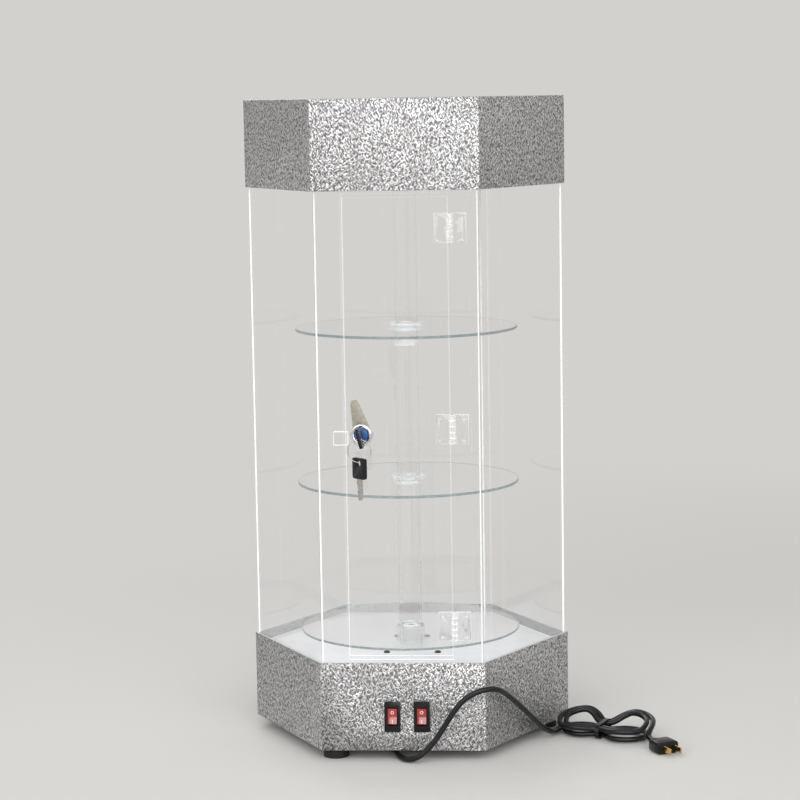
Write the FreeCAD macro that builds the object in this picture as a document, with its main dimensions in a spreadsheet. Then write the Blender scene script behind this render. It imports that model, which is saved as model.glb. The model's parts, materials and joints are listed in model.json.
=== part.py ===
"""Hexagonal acrylic display case: a lit case on a skirted base, with a turning carousel, a locked door and a lead.

Millimetres, +Z up. The origin lies on the floor under the case's centre, and the door faces -Y.
"""
import FreeCAD, Part
import math
import os
import re

Vector = FreeCAD.Vector
Rotation = FreeCAD.Rotation
Placement = FreeCAD.Placement

SIZES = [
    ("across_corners", 350, "case width over two opposite corners"),
    ("skirt_wall", 3, "composite sheet of both skirts"),
    ("base_skirt_height", 95, "base skirt"),
    ("top_skirt_height", 95, "top skirt"),
    ("deck_recess", 11.5, "deck surface below the base skirt's rim"),
    ("deck_thickness", 5, "deck plate"),
    ("bottom_thickness", 5, "bottom plate"),
    ("ceiling_recess", 11.5, "ceiling surface above the top skirt's rim"),
    ("ceiling_thickness", 5, "ceiling plate"),
    ("cover_thickness", 5, "top cover plate"),
    ("fit_gap", 0.3, "plates and walls inside the skirts, all round"),
    ("hole_gap", 0.2, "radial room of fixed pieces in their holes"),
    ("run_gap", 0.3, "radial room of turning pieces"),
    ("post_diameter", 14, "corner posts"),
    ("panel_thickness", 3, "acrylic walls and door"),
    ("glue_gap", 0.2, "between two mitred walls"),
    ("foot_height", 12, "rubber foot"),
    ("foot_diameter", 28, "rubber foot at the floor"),
    ("foot_top_diameter", 25, "rubber foot at the bottom plate"),
    ("foot_inset", 27, "foot centre in from the case's corner"),
    ("foot_recess_diameter", 12, "screw recess in the foot"),
    ("foot_recess_depth", 6, "screw recess in the foot"),
    ("foot_screw_diameter", 4, "foot screw shank"),
    ("foot_screw_head", 8, "foot screw head and nut"),
    ("foot_screw_head_height", 3, "foot screw head and nut"),
    ("motor_plate_length", 94, "steel motor plate along Y"),
    ("motor_plate_width", 76, "steel motor plate along X"),
    ("motor_plate_thickness", 2, "steel motor plate"),
    ("motor_plate_centre", -13, "middle of the motor plate along Y"),
    ("motor_diameter", 60, "gear case of the motor"),
    ("motor_can_diameter", 52, "can below the gear case"),
    ("gear_case_height", 18, "gear case"),
    ("motor_can_height", 20, "motor can"),
    ("motor_offset", 16, "gear case centre in front of the shaft"),
    ("motor_screw_front_x", 28, "front motor screws, each side"),
    ("motor_screw_front_y", 51.5, "front motor screws, ahead of the shaft"),
    ("motor_screw_shift", 4.5, "front motor screws, both to the right"),
    ("motor_screw_rear_x", 16.5, "rear motor screws, each side"),
    ("motor_screw_rear_y", 19, "rear motor screws, behind the shaft"),
    ("motor_screw_diameter", 4, "motor screw shank"),
    ("motor_screw_head", 7.5, "motor screw head"),
    ("motor_screw_head_height", 2.2, "motor screw head"),
    ("motor_screw_grip", 5, "motor screw below the plate, in its nut"),
    ("shaft_diameter", 7, "motor output shaft"),
    ("shaft_depth", 15, "output shaft inside the gear case"),
    ("washer_diameter", 26, "thrust washer under the hub"),
    ("washer_thickness", 1.5, "thrust washer under the hub"),
    ("washer_bore", 12, "thrust washer and deck hole for the shaft"),
    ("tube_diameter", 25, "centre tube"),
    ("tube_wall", 3, "centre tube"),
    ("tube_top_gap", 3, "end of the tube below the ceiling"),
    ("coupling_height", 18.5, "shaft coupling inside the tube"),
    ("turntable_diameter", 239, "turntable disc"),
    ("turntable_thickness", 2.5, "turntable disc"),
    ("turntable_height", 20, "turntable surface above the deck"),
    ("hub_diameter", 31, "foot hub below the turntable"),
    ("hub_neck_diameter", 28, "foot hub in and above the turntable"),
    ("hub_rise", 2, "foot hub above the turntable"),
    ("shelf_diameter", 241, "both shelves"),
    ("shelf_thickness", 3, "both shelves"),
    ("middle_shelf_rise", 165.5, "middle shelf surface above the turntable"),
    ("upper_shelf_rise", 169.7, "upper shelf surface above the middle one"),
    ("shelf_edge", 0.4, "polished edge of discs and rings"),
    ("ring_diameter", 38, "ring on top of each shelf"),
    ("ring_height", 4, "ring on top of each shelf"),
    ("sleeve_diameter", 30, "sleeve below each shelf"),
    ("sleeve_height", 18, "sleeve below each shelf"),
    ("pivot_diameter", 8, "top pivot pin"),
    ("pivot_length", 10, "top pivot pin above the tube"),
    ("pivot_plug_depth", 15, "top pivot plug inside the tube"),
    ("bush_diameter", 14, "ceiling bush in its hole"),
    ("bush_flange_diameter", 24, "ceiling bush flange"),
    ("bush_flange_height", 2, "ceiling bush flange"),
    ("lamp_circle_diameter", 180, "circle of the ceiling lamps"),
    ("lamp_can_diameter", 44, "lamp can in the ceiling hole"),
    ("lamp_can_height", 24, "lamp can above the ceiling"),
    ("lamp_flange_diameter", 52, "lamp flange under the ceiling"),
    ("lamp_flange_height", 2, "lamp flange under the ceiling"),
    ("lamp_wall", 2, "lamp can"),
    ("lens_thickness", 1.5, "frosted lamp lens"),
    ("lamp_lead_diameter", 1.8, "lead up the rear right corner"),
    ("lamp_lead_inset", 14, "lead in from the walls' inner corner"),
    ("door_width", 109, "door"),
    ("door_height", 484, "door"),
    ("door_offset", -1, "door's middle line along X"),
    ("door_sill", 7, "door's lower edge above the base skirt's rim"),
    ("door_headroom", 7, "door's upper edge below the top skirt's rim"),
    ("door_side_gap", 0.6, "door to frame at each side"),
    ("door_end_gap", 4, "door to frame above and below"),
    ("hinge_pitch", 210, "from one hinge to the next"),
    ("hinge_shift", 2.4, "hinge axis to the right of the door's gap"),
    ("hinge_leaf_width", 17, "hinge leaf from the axis"),
    ("hinge_height", 31, "hinge leaves"),
    ("hinge_leaf_thickness", 2, "hinge leaves"),
    ("knuckle_diameter", 6, "hinge knuckles"),
    ("knuckle_gap", 0.4, "between two knuckles, and behind them"),
    ("hinge_pin_diameter", 2, "hinge pins"),
    ("hinge_hole_diameter", 2.5, "holes in the hinge leaves"),
    ("hinge_hole_inset", 4, "holes in from the leaf's edges"),
    ("stop_width", 15, "keeper block on the left strip"),
    ("stop_height", 14, "keeper block on the left strip"),
    ("stop_thickness", 8, "keeper block on the left strip"),
    ("stop_overlap", 1.4, "keeper block behind the door's edge"),
    ("lock_inset", 16.1, "lock axis from the door's left edge"),
    ("lock_height", 236.3, "lock axis above the door's lower edge"),
    ("lock_rest_turn", 14, "plug, key and cam turned to the left at rest"),
    ("lock_face_diameter", 24, "lock face"),
    ("lock_face_height", 3, "lock face"),
    ("lock_body_diameter", 18.6, "lock body in the door"),
    ("lock_inside", 10, "lock body behind the door"),
    ("lock_nut_width", 21.5, "clamping nut across its flats"),
    ("lock_nut_thickness", 4, "clamping nut"),
    ("plug_diameter", 12, "lock plug"),
    ("plug_face_diameter", 14.4, "lock plug's face"),
    ("plug_face_height", 2.2, "lock plug's face"),
    ("cam_thickness", 2, "lock cam"),
    ("cam_length", 36, "lock cam from the axis"),
    ("cam_width", 18, "lock cam at the axis"),
    ("cam_tip_width", 8, "lock cam at its tip"),
    ("cam_screw_head", 9, "cam screw head"),
    ("cam_screw_head_height", 3, "cam screw head"),
    ("key_blade_thickness", 2.2, "key blade"),
    ("key_blade_width", 8, "key blade"),
    ("key_blade_length", 22.5, "key blade out of its head"),
    ("key_blade_hidden", 9, "key blade inside its head"),
    ("key_head_thickness", 3.4, "plastic key head"),
    ("key_head_width", 21, "plastic key head"),
    ("key_head_length", 22, "plastic key head"),
    ("key_head_round", 3, "corners of the key head"),
    ("key_hole_diameter", 7, "ring hole in the key head"),
    ("key_hole_inset", 5.5, "ring hole from the head's end"),
    ("key_reach", 9, "key head in front of the lock face"),
    ("keyway_gap", 0.25, "key blade in the plug"),
    ("key_ring_diameter", 24, "key ring to the middle of its wire"),
    ("key_ring_wire", 1.6, "key ring wire"),
    ("key_ring_drop", 0.8, "ring wire from the middle of a key hole"),
    ("spare_key_turn", 42, "spare key turned about the vertical"),
    ("switch_offset", 4.3, "middle between the two switches along X"),
    ("switch_spacing", 31.2, "between the two switches"),
    ("switch_rise", 37, "switches above the skirt's lower edge"),
    ("bezel_width", 17, "switch bezel"),
    ("bezel_height", 33, "switch bezel"),
    ("bezel_thickness", 1.6, "switch bezel"),
    ("switch_body_width", 13, "switch body behind the skirt"),
    ("switch_body_height", 28, "switch body behind the skirt"),
    ("switch_body_depth", 20, "switch body behind the skirt's face"),
    ("rocker_width", 9.6, "rocker"),
    ("rocker_radius", 9.6, "rocker ends about its pivot"),
    ("rocker_depth", 4, "rocker behind its pivot"),
    ("rocker_valley", 4.4, "rocker's valley in front of its pivot"),
    ("rocker_pivot_depth", 1.6, "rocker pivot behind the skirt's face"),
    ("rocker_throw", 20, "degrees between off and on"),
    ("rocker_pin_diameter", 3, "rocker pivot pin"),
    ("rocker_pin_reach", 1, "rocker pin past each side"),
    ("terminal_width", 4.8, "switch terminals"),
    ("terminal_thickness", 0.8, "switch terminals"),
    ("terminal_length", 8, "switch terminals"),
    ("terminal_spacing", 14, "between a switch's two terminals"),
    ("driver_length", 64, "lamp driver"),
    ("driver_width", 38, "lamp driver"),
    ("driver_height", 26, "lamp driver"),
    ("driver_offset", 90, "lamp driver from the case's centre"),
    ("cord_diameter", 6, "mains lead"),
    ("gland_width", 18, "lead outlet block"),
    ("gland_length", 22, "lead outlet block"),
    ("gland_floor_gap", 0.8, "lead outlet block above the floor"),
    ("gland_stem_diameter", 14, "lead outlet through the bottom plate"),
    ("gland_nut_diameter", 22, "lead outlet nut on the bottom plate"),
    ("gland_nut_height", 4, "lead outlet nut on the bottom plate"),
    ("relief_length", 20, "tapered strain relief"),
    ("relief_base_diameter", 10, "strain relief at the block"),
    ("relief_tip_diameter", 8, "strain relief at its tip"),
    ("gland_x", -22, "lead outlet"),
    ("gland_y", -92, "lead outlet"),
    ("gland_heading", -74, "degrees in plan, where the lead leaves"),
    ("hank_x", 212, "middle of the hank's waist"),
    ("hank_y", -47, "middle of the hank's waist"),
    ("hank_heading", -22, "degrees in plan, along the hank"),
    ("hank_floor", 4.8, "lowest turns, middle of the cord above the floor"),
    ("hank_layer", 6.9, "upper turns above the lower ones at the waist"),
    ("hank_step", 6.9, "from one turn to the next"),
    ("hank_waist", 15.6, "outermost turn from the middle line at the waist"),
    ("hank_near_reach", 24, "waist to the middle of the near lobe"),
    ("hank_near_radius", 24.5, "outermost turn of the near lobe"),
    ("hank_far_reach", 27, "waist to the middle of the far lobe"),
    ("hank_far_radius", 27, "outermost turn of the far lobe"),
    ("hank_fan", 12, "rise of the upper turns at the back of the lobes"),
    ("tie_width", 5, "hank tie along the hank"),
    ("tie_thickness", 1.2, "hank tie"),
    ("tie_gap", 0.5, "hank tie under the turns"),
    ("tie_slack", 2.6, "hank tie beside and above the turns"),
    ("plug_tail_x", 267.8, "plug's tail"),
    ("plug_tail_y", -96, "plug's tail"),
    ("plug_tail_z", 7.2, "plug's middle above the floor"),
    ("plug_heading", -62, "degrees in plan, along the plug"),
    ("plug_relief_length", 8, "plug's tapered tail"),
    ("plug_relief_diameter", 9, "plug's tapered tail at the lead"),
    ("plug_relief_end", 11, "plug's tapered tail at the body"),
    ("plug_length", 20, "plug body"),
    ("plug_width", 25, "plug body"),
    ("plug_thickness", 13, "plug body"),
    ("plug_round", 3.5, "plug body's long edges"),
    ("blade_spacing", 12.7, "between the plug's blades"),
    ("blade_width", 6.3, "plug blades"),
    ("blade_thickness", 1.5, "plug blades"),
    ("blade_length", 16, "plug blades"),
]

doc = FreeCAD.newDocument("DisplayCase")
sheet = doc.addObject("Spreadsheet::Sheet", "Sizes")
for row, (alias, number, meaning) in enumerate(SIZES, start=1):
    sheet.set(f"A{row}", meaning)
    sheet.set(f"B{row}", str(number))
    sheet.setAlias(f"B{row}", alias)
doc.recompute()

levels = doc.addObject("App::FeaturePython", "Levels")
levels.addProperty("App::PropertyFloat", "probe")
OWNER = {alias: "Sizes" for alias, number, meaning in SIZES}
pieces = {}


def spelled(text):
    """The formula with each size named through the object that holds it."""
    return re.sub(r"[a-z][a-z_]*", lambda w: f"{OWNER[w[0]]}.{w[0]}" if w[0] in OWNER else w[0], str(text))


def derive(name, text):
    """Names a place or size that follows from the sheet."""
    levels.addProperty("App::PropertyFloat", name)
    levels.setExpression(name, spelled(text))
    OWNER[name] = "Levels"


def value(text):
    """The number that a formula gives now."""
    levels.setExpression("probe", spelled(text))
    levels.recompute()
    return levels.probe


def bind(item, **formulas):
    for name, text in formulas.items():
        item.setExpression(name, spelled(text))
    return item


def place(item, x, y, z):
    for axis, text in zip("xyz", (x, y, z)):
        item.setExpression(f"Placement.Base.{axis}", spelled(text))
    return item


TURNS = {
    "z": Rotation(),
    "x": Rotation(Vector(0, 1, 0), 90),
    "y": Rotation(Vector(1, 0, 0), -90),
    "-y": Rotation(Vector(1, 0, 0), 90),
}


def box(size, corner):
    item = doc.addObject("Part::Box", "block")
    bind(item, Length=size[0], Width=size[1], Height=size[2])
    return place(item, *corner)


def rod(diameter, length, start, along="z"):
    item = doc.addObject("Part::Cylinder", "rod")
    bind(item, Radius=f"({diameter}) / 2", Height=length)
    item.Placement = Placement(Vector(), TURNS[along])
    return place(item, *start)


def hexagon(across_flats, height, z):
    item = doc.addObject("Part::Prism", "hexagon")
    item.Polygon = 6
    bind(item, Circumradius=f"({across_flats}) / sqrt(3)", Height=height)
    return place(item, "0", "0", z)


def fuse(*items):
    item = doc.addObject("Part::MultiFuse", "joined")
    item.Shapes = list(items)
    return item


def cut(base, *tools):
    item = doc.addObject("Part::Cut", "cut")
    item.Base = base
    item.Tool = tools[0] if len(tools) == 1 else fuse(*tools)
    return item


def group(*items):
    item = doc.addObject("Part::Compound", "group")
    item.Links = list(items)
    return item


def solid(shape):
    """A shape made with code, as an object of the document."""
    item = doc.addObject("Part::Feature", "shape")
    item.Shape = shape
    return item


def piece(node, item):
    """Names a finished sub-part, which names its file."""
    item.Label = node
    pieces[node] = item
    return item


def outline(body, plane, points):
    """A closed sketch whose corners are bound to formulas."""
    sketch = body.newObject("Sketcher::SketchObject", "outline")
    sketch.AttachmentSupport = [(next(f for f in body.Origin.OriginFeatures if f.Role == plane), "")]
    sketch.MapMode = "FlatFace"
    corners = [Vector(value(x), value(y), 0) for x, y in points]
    for i, corner in enumerate(corners):
        sketch.addGeometry(Part.LineSegment(corner, corners[(i + 1) % len(corners)]), False)
    for i in range(len(corners)):
        sketch.addConstraint(Sketcher.Constraint("Coincident", i, 2, (i + 1) % len(corners), 1))
    for i, (x, y) in enumerate(points):
        for kind, axis, text, number in (("DistanceX", -2, x, corners[i].x), ("DistanceY", -1, y, corners[i].y)):
            if text == "0":
                sketch.addConstraint(Sketcher.Constraint("PointOnObject", i, 1, axis))
            else:
                index = sketch.addConstraint(Sketcher.Constraint(kind, -1, 1, i, 1, number))
                sketch.setExpression(f"Constraints[{index}]", spelled(text))
    return sketch


def turned(points):
    """A piece turned about Z from (radius, height) corners."""
    body = doc.addObject("PartDesign::Body", "turned")
    sketch = outline(body, "XZ_Plane", points)
    turn = body.newObject("PartDesign::Revolution", "turn")
    turn.Profile = sketch
    turn.ReferenceAxis = (sketch, ["V_Axis"])
    turn.Angle = 360
    return body


def extruded(points, height):
    """A piece with the plan that the corners give, padded up from its own floor."""
    body = doc.addObject("PartDesign::Body", "extruded")
    sketch = outline(body, "XY_Plane", points)
    pad = body.newObject("PartDesign::Pad", "pad")
    pad.Profile = sketch
    bind(pad, Length=height)
    return body


def around(radius, degrees):
    """X and Y on a circle about the case's centre."""
    return f"({radius}) * cos({degrees} deg)", f"({radius}) * sin({degrees} deg)"


def ring_points(outer, inner, height, edge):
    """Corners of a ring or holed disc with its outer edges eased."""
    return [
        (f"({inner}) / 2", "0"),
        (f"({outer}) / 2 - {edge}", "0"),
        (f"({outer}) / 2", edge),
        (f"({outer}) / 2", f"{height} - {edge}"),
        (f"({outer}) / 2 - {edge}", height),
        (f"({inner}) / 2", height),
    ]


derive("apothem", "across_corners * sqrt(3) / 4")
derive("wall_face", "apothem - skirt_wall - fit_gap")
derive("base_rim", "foot_height + base_skirt_height")
derive("bottom_top", "foot_height + bottom_thickness")
derive("deck_top", "base_rim - deck_recess")
derive("deck_bottom", "deck_top - deck_thickness")
derive("window_height", "door_sill + door_height + door_headroom")
derive("top_rim", "base_rim + window_height")
derive("ceiling_bottom", "top_rim + ceiling_recess")
derive("ceiling_top", "ceiling_bottom + ceiling_thickness")
derive("case_top", "top_rim + top_skirt_height")
derive("cover_bottom", "case_top - cover_thickness")
derive("motor_top", "deck_bottom - motor_plate_thickness")
derive("hub_floor", "deck_top + washer_thickness")
derive("turntable_top", "deck_top + turntable_height")
derive("middle_shelf_top", "turntable_top + middle_shelf_rise")
derive("upper_shelf_top", "middle_shelf_top + upper_shelf_rise")
derive("tube_top", "ceiling_bottom - tube_top_gap")
derive("tube_bore", "tube_diameter - 2 * tube_wall")
derive("tube_seat", "tube_diameter + 2 * hole_gap")
derive("foot_circle", "across_corners / 2 - foot_inset")
derive("door_left", "door_offset - door_width / 2")
derive("door_bottom", "base_rim + door_sill")
derive("hinge_x", "door_left + door_width + door_side_gap / 2 + hinge_shift")
derive("hinge_y", "-wall_face - knuckle_gap - knuckle_diameter / 2")
derive("lock_x", "door_left + lock_inset")
derive("lock_z", "door_bottom + lock_height")
derive("lock_back", "panel_thickness + lock_inside")
derive("key_end", "lock_face_height + key_reach + key_head_length")
derive("key_hole_reach", "key_end - key_hole_inset")
derive("key_ring_y", "-wall_face - key_hole_reach")
derive("key_ring_z", "lock_z - key_ring_drop - key_ring_diameter / 2")
derive("spare_key_z", "key_ring_z - key_ring_diameter / 2 - key_ring_drop")
derive("switch_z", "foot_height + switch_rise")
derive("rocker_y", "-apothem + rocker_pivot_depth")
derive("lamp_lead_circle", "(wall_face - panel_thickness) * 2 / sqrt(3) - lamp_lead_inset")
doc.recompute()

import Sketcher

FEET = (-120, 0, 120)
CORNERS = range(0, 360, 60)
LAMPS = (90, 210, 330)
LAMP_LEAD_CORNER = 60


def skirt(height, z, *openings):
    """A hexagonal ring of folded sheet, with its cut-outs."""
    inside = hexagon("2 * (apothem - skirt_wall)", f"{height} + 2", f"{z} - 1")
    return cut(hexagon("2 * apothem", height, z), inside, *openings)


def plate(thickness, z, *holes):
    """A hexagonal plate that fits inside a skirt."""
    base = hexagon("2 * wall_face", thickness, z)
    return cut(base, *holes) if holes else base


def posts(bottom, top):
    """Six corner posts that hold two plates apart."""
    circle = "wall_face * 2 / sqrt(3) - post_diameter / sqrt(3)"
    return [rod("post_diameter", f"{top} - {bottom}", (*around(circle, angle), bottom)) for angle in CORNERS]


def lamp_lead_hole(bottom, thickness):
    start = (*around("lamp_lead_circle", LAMP_LEAD_CORNER), f"{bottom} - 1")
    return rod("lamp_lead_diameter + 2 * hole_gap", f"{thickness} + 2", start)


def motor_screw_places():
    for side in (1, -1):
        yield f"{side} * motor_screw_front_x + motor_screw_shift", "-motor_screw_front_y"
        yield f"{side} * motor_screw_rear_x", "motor_screw_rear_y"


def motor_screw_hole(x, y, bottom, thickness):
    return rod("motor_screw_diameter + 2 * hole_gap", f"{thickness} + 2", (x, y, f"{bottom} - 1"))


def shaft_hole(bottom, thickness):
    return rod("washer_bore", f"{thickness} + 2", ("0", "0", f"{bottom} - 1"))


def base_case():
    """The base skirt, deck, bottom plate, posts, feet and their screws."""
    openings = []
    for side in (-1, 1):
        openings.append(box(
            ("switch_body_width + 2 * hole_gap", "skirt_wall + 2", "switch_body_height + 2 * hole_gap"),
            (f"{switch_x(side)} - switch_body_width / 2 - hole_gap", "-apothem - 1",
             "switch_z - switch_body_height / 2 - hole_gap")))
    piece("base_skirt", skirt("base_skirt_height", "foot_height", *openings))
    deck_holes = [motor_screw_hole(x, y, "deck_bottom", "deck_thickness") for x, y in motor_screw_places()]
    deck_holes.append(shaft_hole("deck_bottom", "deck_thickness"))
    deck_holes.append(lamp_lead_hole("deck_bottom", "deck_thickness"))
    piece("base_deck", plate("deck_thickness", "deck_bottom", *deck_holes))
    holes = [rod("foot_screw_diameter + 2 * hole_gap", "bottom_thickness + 2",
                 (*around("foot_circle", angle), "foot_height - 1")) for angle in FEET]
    holes.append(rod("gland_stem_diameter + 2 * hole_gap", "bottom_thickness + 2",
                     ("gland_x", "gland_y", "foot_height - 1")))
    piece("bottom_plate", plate("bottom_thickness", "foot_height", *holes))
    piece("corner_posts", group(*posts("bottom_top", "deck_bottom"), *posts("ceiling_top", "cover_bottom")))
    hole = "foot_screw_diameter / 2 + hole_gap"
    foot_points = [
        ("foot_recess_diameter / 2", "0"), ("foot_diameter / 2", "0"), ("foot_top_diameter / 2", "foot_height"),
        (hole, "foot_height"), (hole, "foot_recess_depth"), ("foot_recess_diameter / 2", "foot_recess_depth")]
    screw_points = [
        ("0", "0"), ("foot_screw_head / 2", "0"), ("foot_screw_head / 2", "foot_screw_head_height"),
        ("foot_screw_diameter / 2", "foot_screw_head_height"),
        ("foot_screw_diameter / 2", "bottom_top - foot_recess_depth + 2 * foot_screw_head_height"),
        ("0", "bottom_top - foot_recess_depth + 2 * foot_screw_head_height")]
    feet = []
    screws = []
    for angle in FEET:
        x, y = around("foot_circle", angle)
        feet.append(place(turned(foot_points), x, y, "0"))
        screws.append(place(turned(screw_points), x, y, "foot_recess_depth - foot_screw_head_height"))
        nut = cut(rod("foot_screw_head", "foot_screw_head_height", (x, y, "bottom_top")),
                  rod("foot_screw_diameter + hole_gap", "foot_screw_head_height + 2", (x, y, "bottom_top - 1")))
        screws.append(nut)
    piece("rubber_feet", group(*feet))
    piece("foot_screws", group(*screws))


def drive():
    """The gear motor under the deck, its plate and screws, and the thrust washer on the deck."""
    holes = [motor_screw_hole(x, y, "motor_top", "motor_plate_thickness") for x, y in motor_screw_places()]
    holes.append(shaft_hole("motor_top", "motor_plate_thickness"))
    steel = box(("motor_plate_width", "motor_plate_length", "motor_plate_thickness"),
                ("-motor_plate_width / 2", "motor_plate_centre - motor_plate_length / 2", "motor_top"))
    piece("motor_plate", cut(steel, *holes))
    case = rod("motor_diameter", "gear_case_height", ("0", "-motor_offset", "motor_top - gear_case_height"))
    can = rod("motor_can_diameter", "motor_can_height + 1",
              ("0", "-motor_offset", "motor_top - gear_case_height - motor_can_height"))
    bore = rod("shaft_diameter + 2 * hole_gap", "shaft_depth + 1", ("0", "0", "motor_top - shaft_depth"))
    piece("gear_motor", cut(fuse(case, can), bore))
    screws = []
    shank = "deck_thickness + motor_plate_thickness + motor_screw_grip"
    for x, y in motor_screw_places():
        points = [
            ("0", f"-({shank})"), ("motor_screw_diameter / 2", f"-({shank})"), ("motor_screw_diameter / 2", "0"),
            ("motor_screw_head / 2", "0"), ("motor_screw_head / 2", "motor_screw_head_height * 0.6"),
            ("motor_screw_head / 4", "motor_screw_head_height"), ("0", "motor_screw_head_height")]
        screws.append(place(turned(points), x, y, "deck_top"))
    piece("motor_screws", group(*screws))
    piece("thrust_washer", place(turned(ring_points("washer_diameter", "washer_bore", "washer_thickness",
                                                    "hole_gap")), "0", "0", "deck_top"))


def switch_x(side):
    return f"(switch_offset + {side} * switch_spacing / 2)"


def rocker(side):
    """A rocker with round ends about its pivot and a valley in front, tipped to off."""
    x = switch_x(side)
    start = (f"{x} - rocker_width / 2", "rocker_y", "switch_z")
    core = rod("2 * rocker_radius", "rocker_width", start, "x")
    reach = "2 * rocker_radius"
    back = box(("rocker_width + 2", reach, f"2 * {reach}"),
               (f"{x} - rocker_width / 2 - 1", "rocker_y + rocker_depth", f"switch_z - {reach}"))
    upper = box(("rocker_width + 2", reach, reach),
                (f"{x} - rocker_width / 2 - 1", f"rocker_y - rocker_valley - {reach}", "switch_z"))
    lower = box(("rocker_width + 2", reach, f"2 * {reach}"),
                (f"{x} - rocker_width / 2 - 1", "rocker_y - rocker_valley", "switch_z"))
    lower.Placement.Rotation = Rotation(Vector(1, 0, 0), 180 - value("rocker_throw"))
    pin = rod("rocker_pin_diameter", "rocker_width + 2 * rocker_pin_reach",
              (f"{x} - rocker_width / 2 - rocker_pin_reach", "rocker_y", "switch_z"), "x")
    return fuse(cut(core, back, upper, lower), pin)


def switches():
    """Two rocker switches in the front of the base."""
    housings = []
    terminals = []
    for side, name in ((-1, "left"), (1, "right")):
        x = switch_x(side)
        bezel = box(("bezel_width", "bezel_thickness", "bezel_height"),
                    (f"{x} - bezel_width / 2", "-apothem - bezel_thickness", "switch_z - bezel_height / 2"))
        body = box(("switch_body_width", "switch_body_depth + 1", "switch_body_height"),
                   (f"{x} - switch_body_width / 2", "-apothem - 1", "switch_z - switch_body_height / 2"))
        pocket = box(("rocker_width + 2 * run_gap", "rocker_y + apothem + rocker_radius + bezel_thickness + 1",
                      "2 * (rocker_radius + run_gap)"),
                     (f"{x} - rocker_width / 2 - run_gap", "-apothem - bezel_thickness - 1",
                      "switch_z - rocker_radius - run_gap"))
        bearing = rod("rocker_pin_diameter + 2 * hole_gap", "switch_body_width + 2",
                      (f"{x} - switch_body_width / 2 - 1", "rocker_y", "switch_z"), "x")
        housings.append(cut(fuse(bezel, body), pocket, bearing))
        for end in (-1, 1):
            terminals.append(box(
                ("terminal_width", "terminal_length", "terminal_thickness"),
                (f"{x} - terminal_width / 2", "-apothem + switch_body_depth",
                 f"switch_z + {end} * terminal_spacing / 2 - terminal_thickness / 2")))
        piece(f"rocker_{name}", rocker(side))
    piece("switch_housings", group(*housings))
    piece("switch_terminals", group(*terminals))
    angle = LAMP_LEAD_CORNER
    centre = around("driver_offset", angle)
    piece("lamp_driver", box(
        ("driver_length", "driver_width", "driver_height"),
        (f"{centre[0]} - driver_length / 2", f"{centre[1]} - driver_width / 2", "bottom_top")))


def wall(turn):
    """One acrylic wall: its plan is a strip with mitred ends, and turn counts sixths of the way round."""
    half_outside = "(wall_face - glue_gap) / sqrt(3)"
    half_inside = "(wall_face - panel_thickness - glue_gap) / sqrt(3)"
    points = [
        (f"-{half_outside}", "-wall_face"), (half_outside, "-wall_face"),
        (half_inside, "panel_thickness - wall_face"), (f"-{half_inside}", "panel_thickness - wall_face")]
    body = extruded(points, "ceiling_bottom - deck_top")
    body.Placement = Placement(Vector(), Rotation(Vector(0, 0, 1), 60 * turn))
    return place(body, "0", "0", "deck_top")


def walls():
    """Five plain walls, the front frame with its door opening, and the keeper block."""
    names = ("panel_front_right", "panel_rear_right", "panel_rear", "panel_rear_left", "panel_front_left")
    for turn, name in enumerate(names, start=1):
        piece(name, wall(turn))
    opening = box(
        ("door_width + 2 * door_side_gap", "panel_thickness + 2", "door_height + 2 * door_end_gap"),
        ("door_left - door_side_gap", "-wall_face - 1", "door_bottom - door_end_gap"))
    piece("front_frame", cut(wall(0), opening))
    piece("keeper_block", box(
        ("stop_width", "stop_thickness", "stop_height"),
        ("door_left + stop_overlap - stop_width", "panel_thickness - wall_face", "lock_z - stop_height * 0.8")))


def hinge_leaf(side, own_knuckles, centre):
    """One hinge leaf: side is 1 on the frame and -1 on the door."""
    clear = "(knuckle_diameter / 2 + run_gap)"
    count = 5
    left = f"hinge_x + {clear}" if side > 0 else "hinge_x - hinge_leaf_width"
    bottom = f"{centre} - hinge_height / 2"
    parts = [box((f"hinge_leaf_width - {clear}", "hinge_leaf_thickness", "hinge_height"),
                 (left, "-wall_face - hinge_leaf_thickness", bottom))]
    length = f"hinge_height / {count} - knuckle_gap"
    for i in own_knuckles:
        low = f"{bottom} + {i} * hinge_height / {count} + knuckle_gap / 2"
        parts.append(rod("knuckle_diameter", length, ("hinge_x", "hinge_y", low)))
        tab_left = "hinge_x" if side > 0 else f"hinge_x - {clear} - 1"
        parts.append(box((f"{clear} + 1", "hinge_leaf_thickness - knuckle_gap", length),
                         (tab_left, "-wall_face - hinge_leaf_thickness", low)))
    holes = [rod("hinge_pin_diameter + 2 * hole_gap", "hinge_height + 2", ("hinge_x", "hinge_y", f"{bottom} - 1"))]
    for end in (-1, 1):
        holes.append(rod(
            "hinge_hole_diameter", "hinge_leaf_thickness + 2",
            (f"hinge_x + {side} * (hinge_leaf_width - hinge_hole_inset)", "-wall_face + 1",
             f"{centre} + {end} * (hinge_height / 2 - hinge_hole_inset)"), "-y"))
    return cut(fuse(*parts), *holes)


def hinges():
    """Three butterfly hinges on the outside of the door's right edge."""
    fixed = []
    moving = []
    pins = []
    for step in (-1, 0, 1):
        centre = f"(door_bottom + door_height / 2 + {step} * hinge_pitch)"
        fixed.append(hinge_leaf(1, (0, 2, 4), centre))
        moving.append(hinge_leaf(-1, (1, 3), centre))
        pins.append(rod("hinge_pin_diameter", "hinge_height", ("hinge_x", "hinge_y", f"{centre} - hinge_height / 2")))
    piece("hinge_fixed_leaves", group(*fixed))
    piece("hinge_door_leaves", group(*moving))
    piece("hinge_pins", group(*pins))


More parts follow.
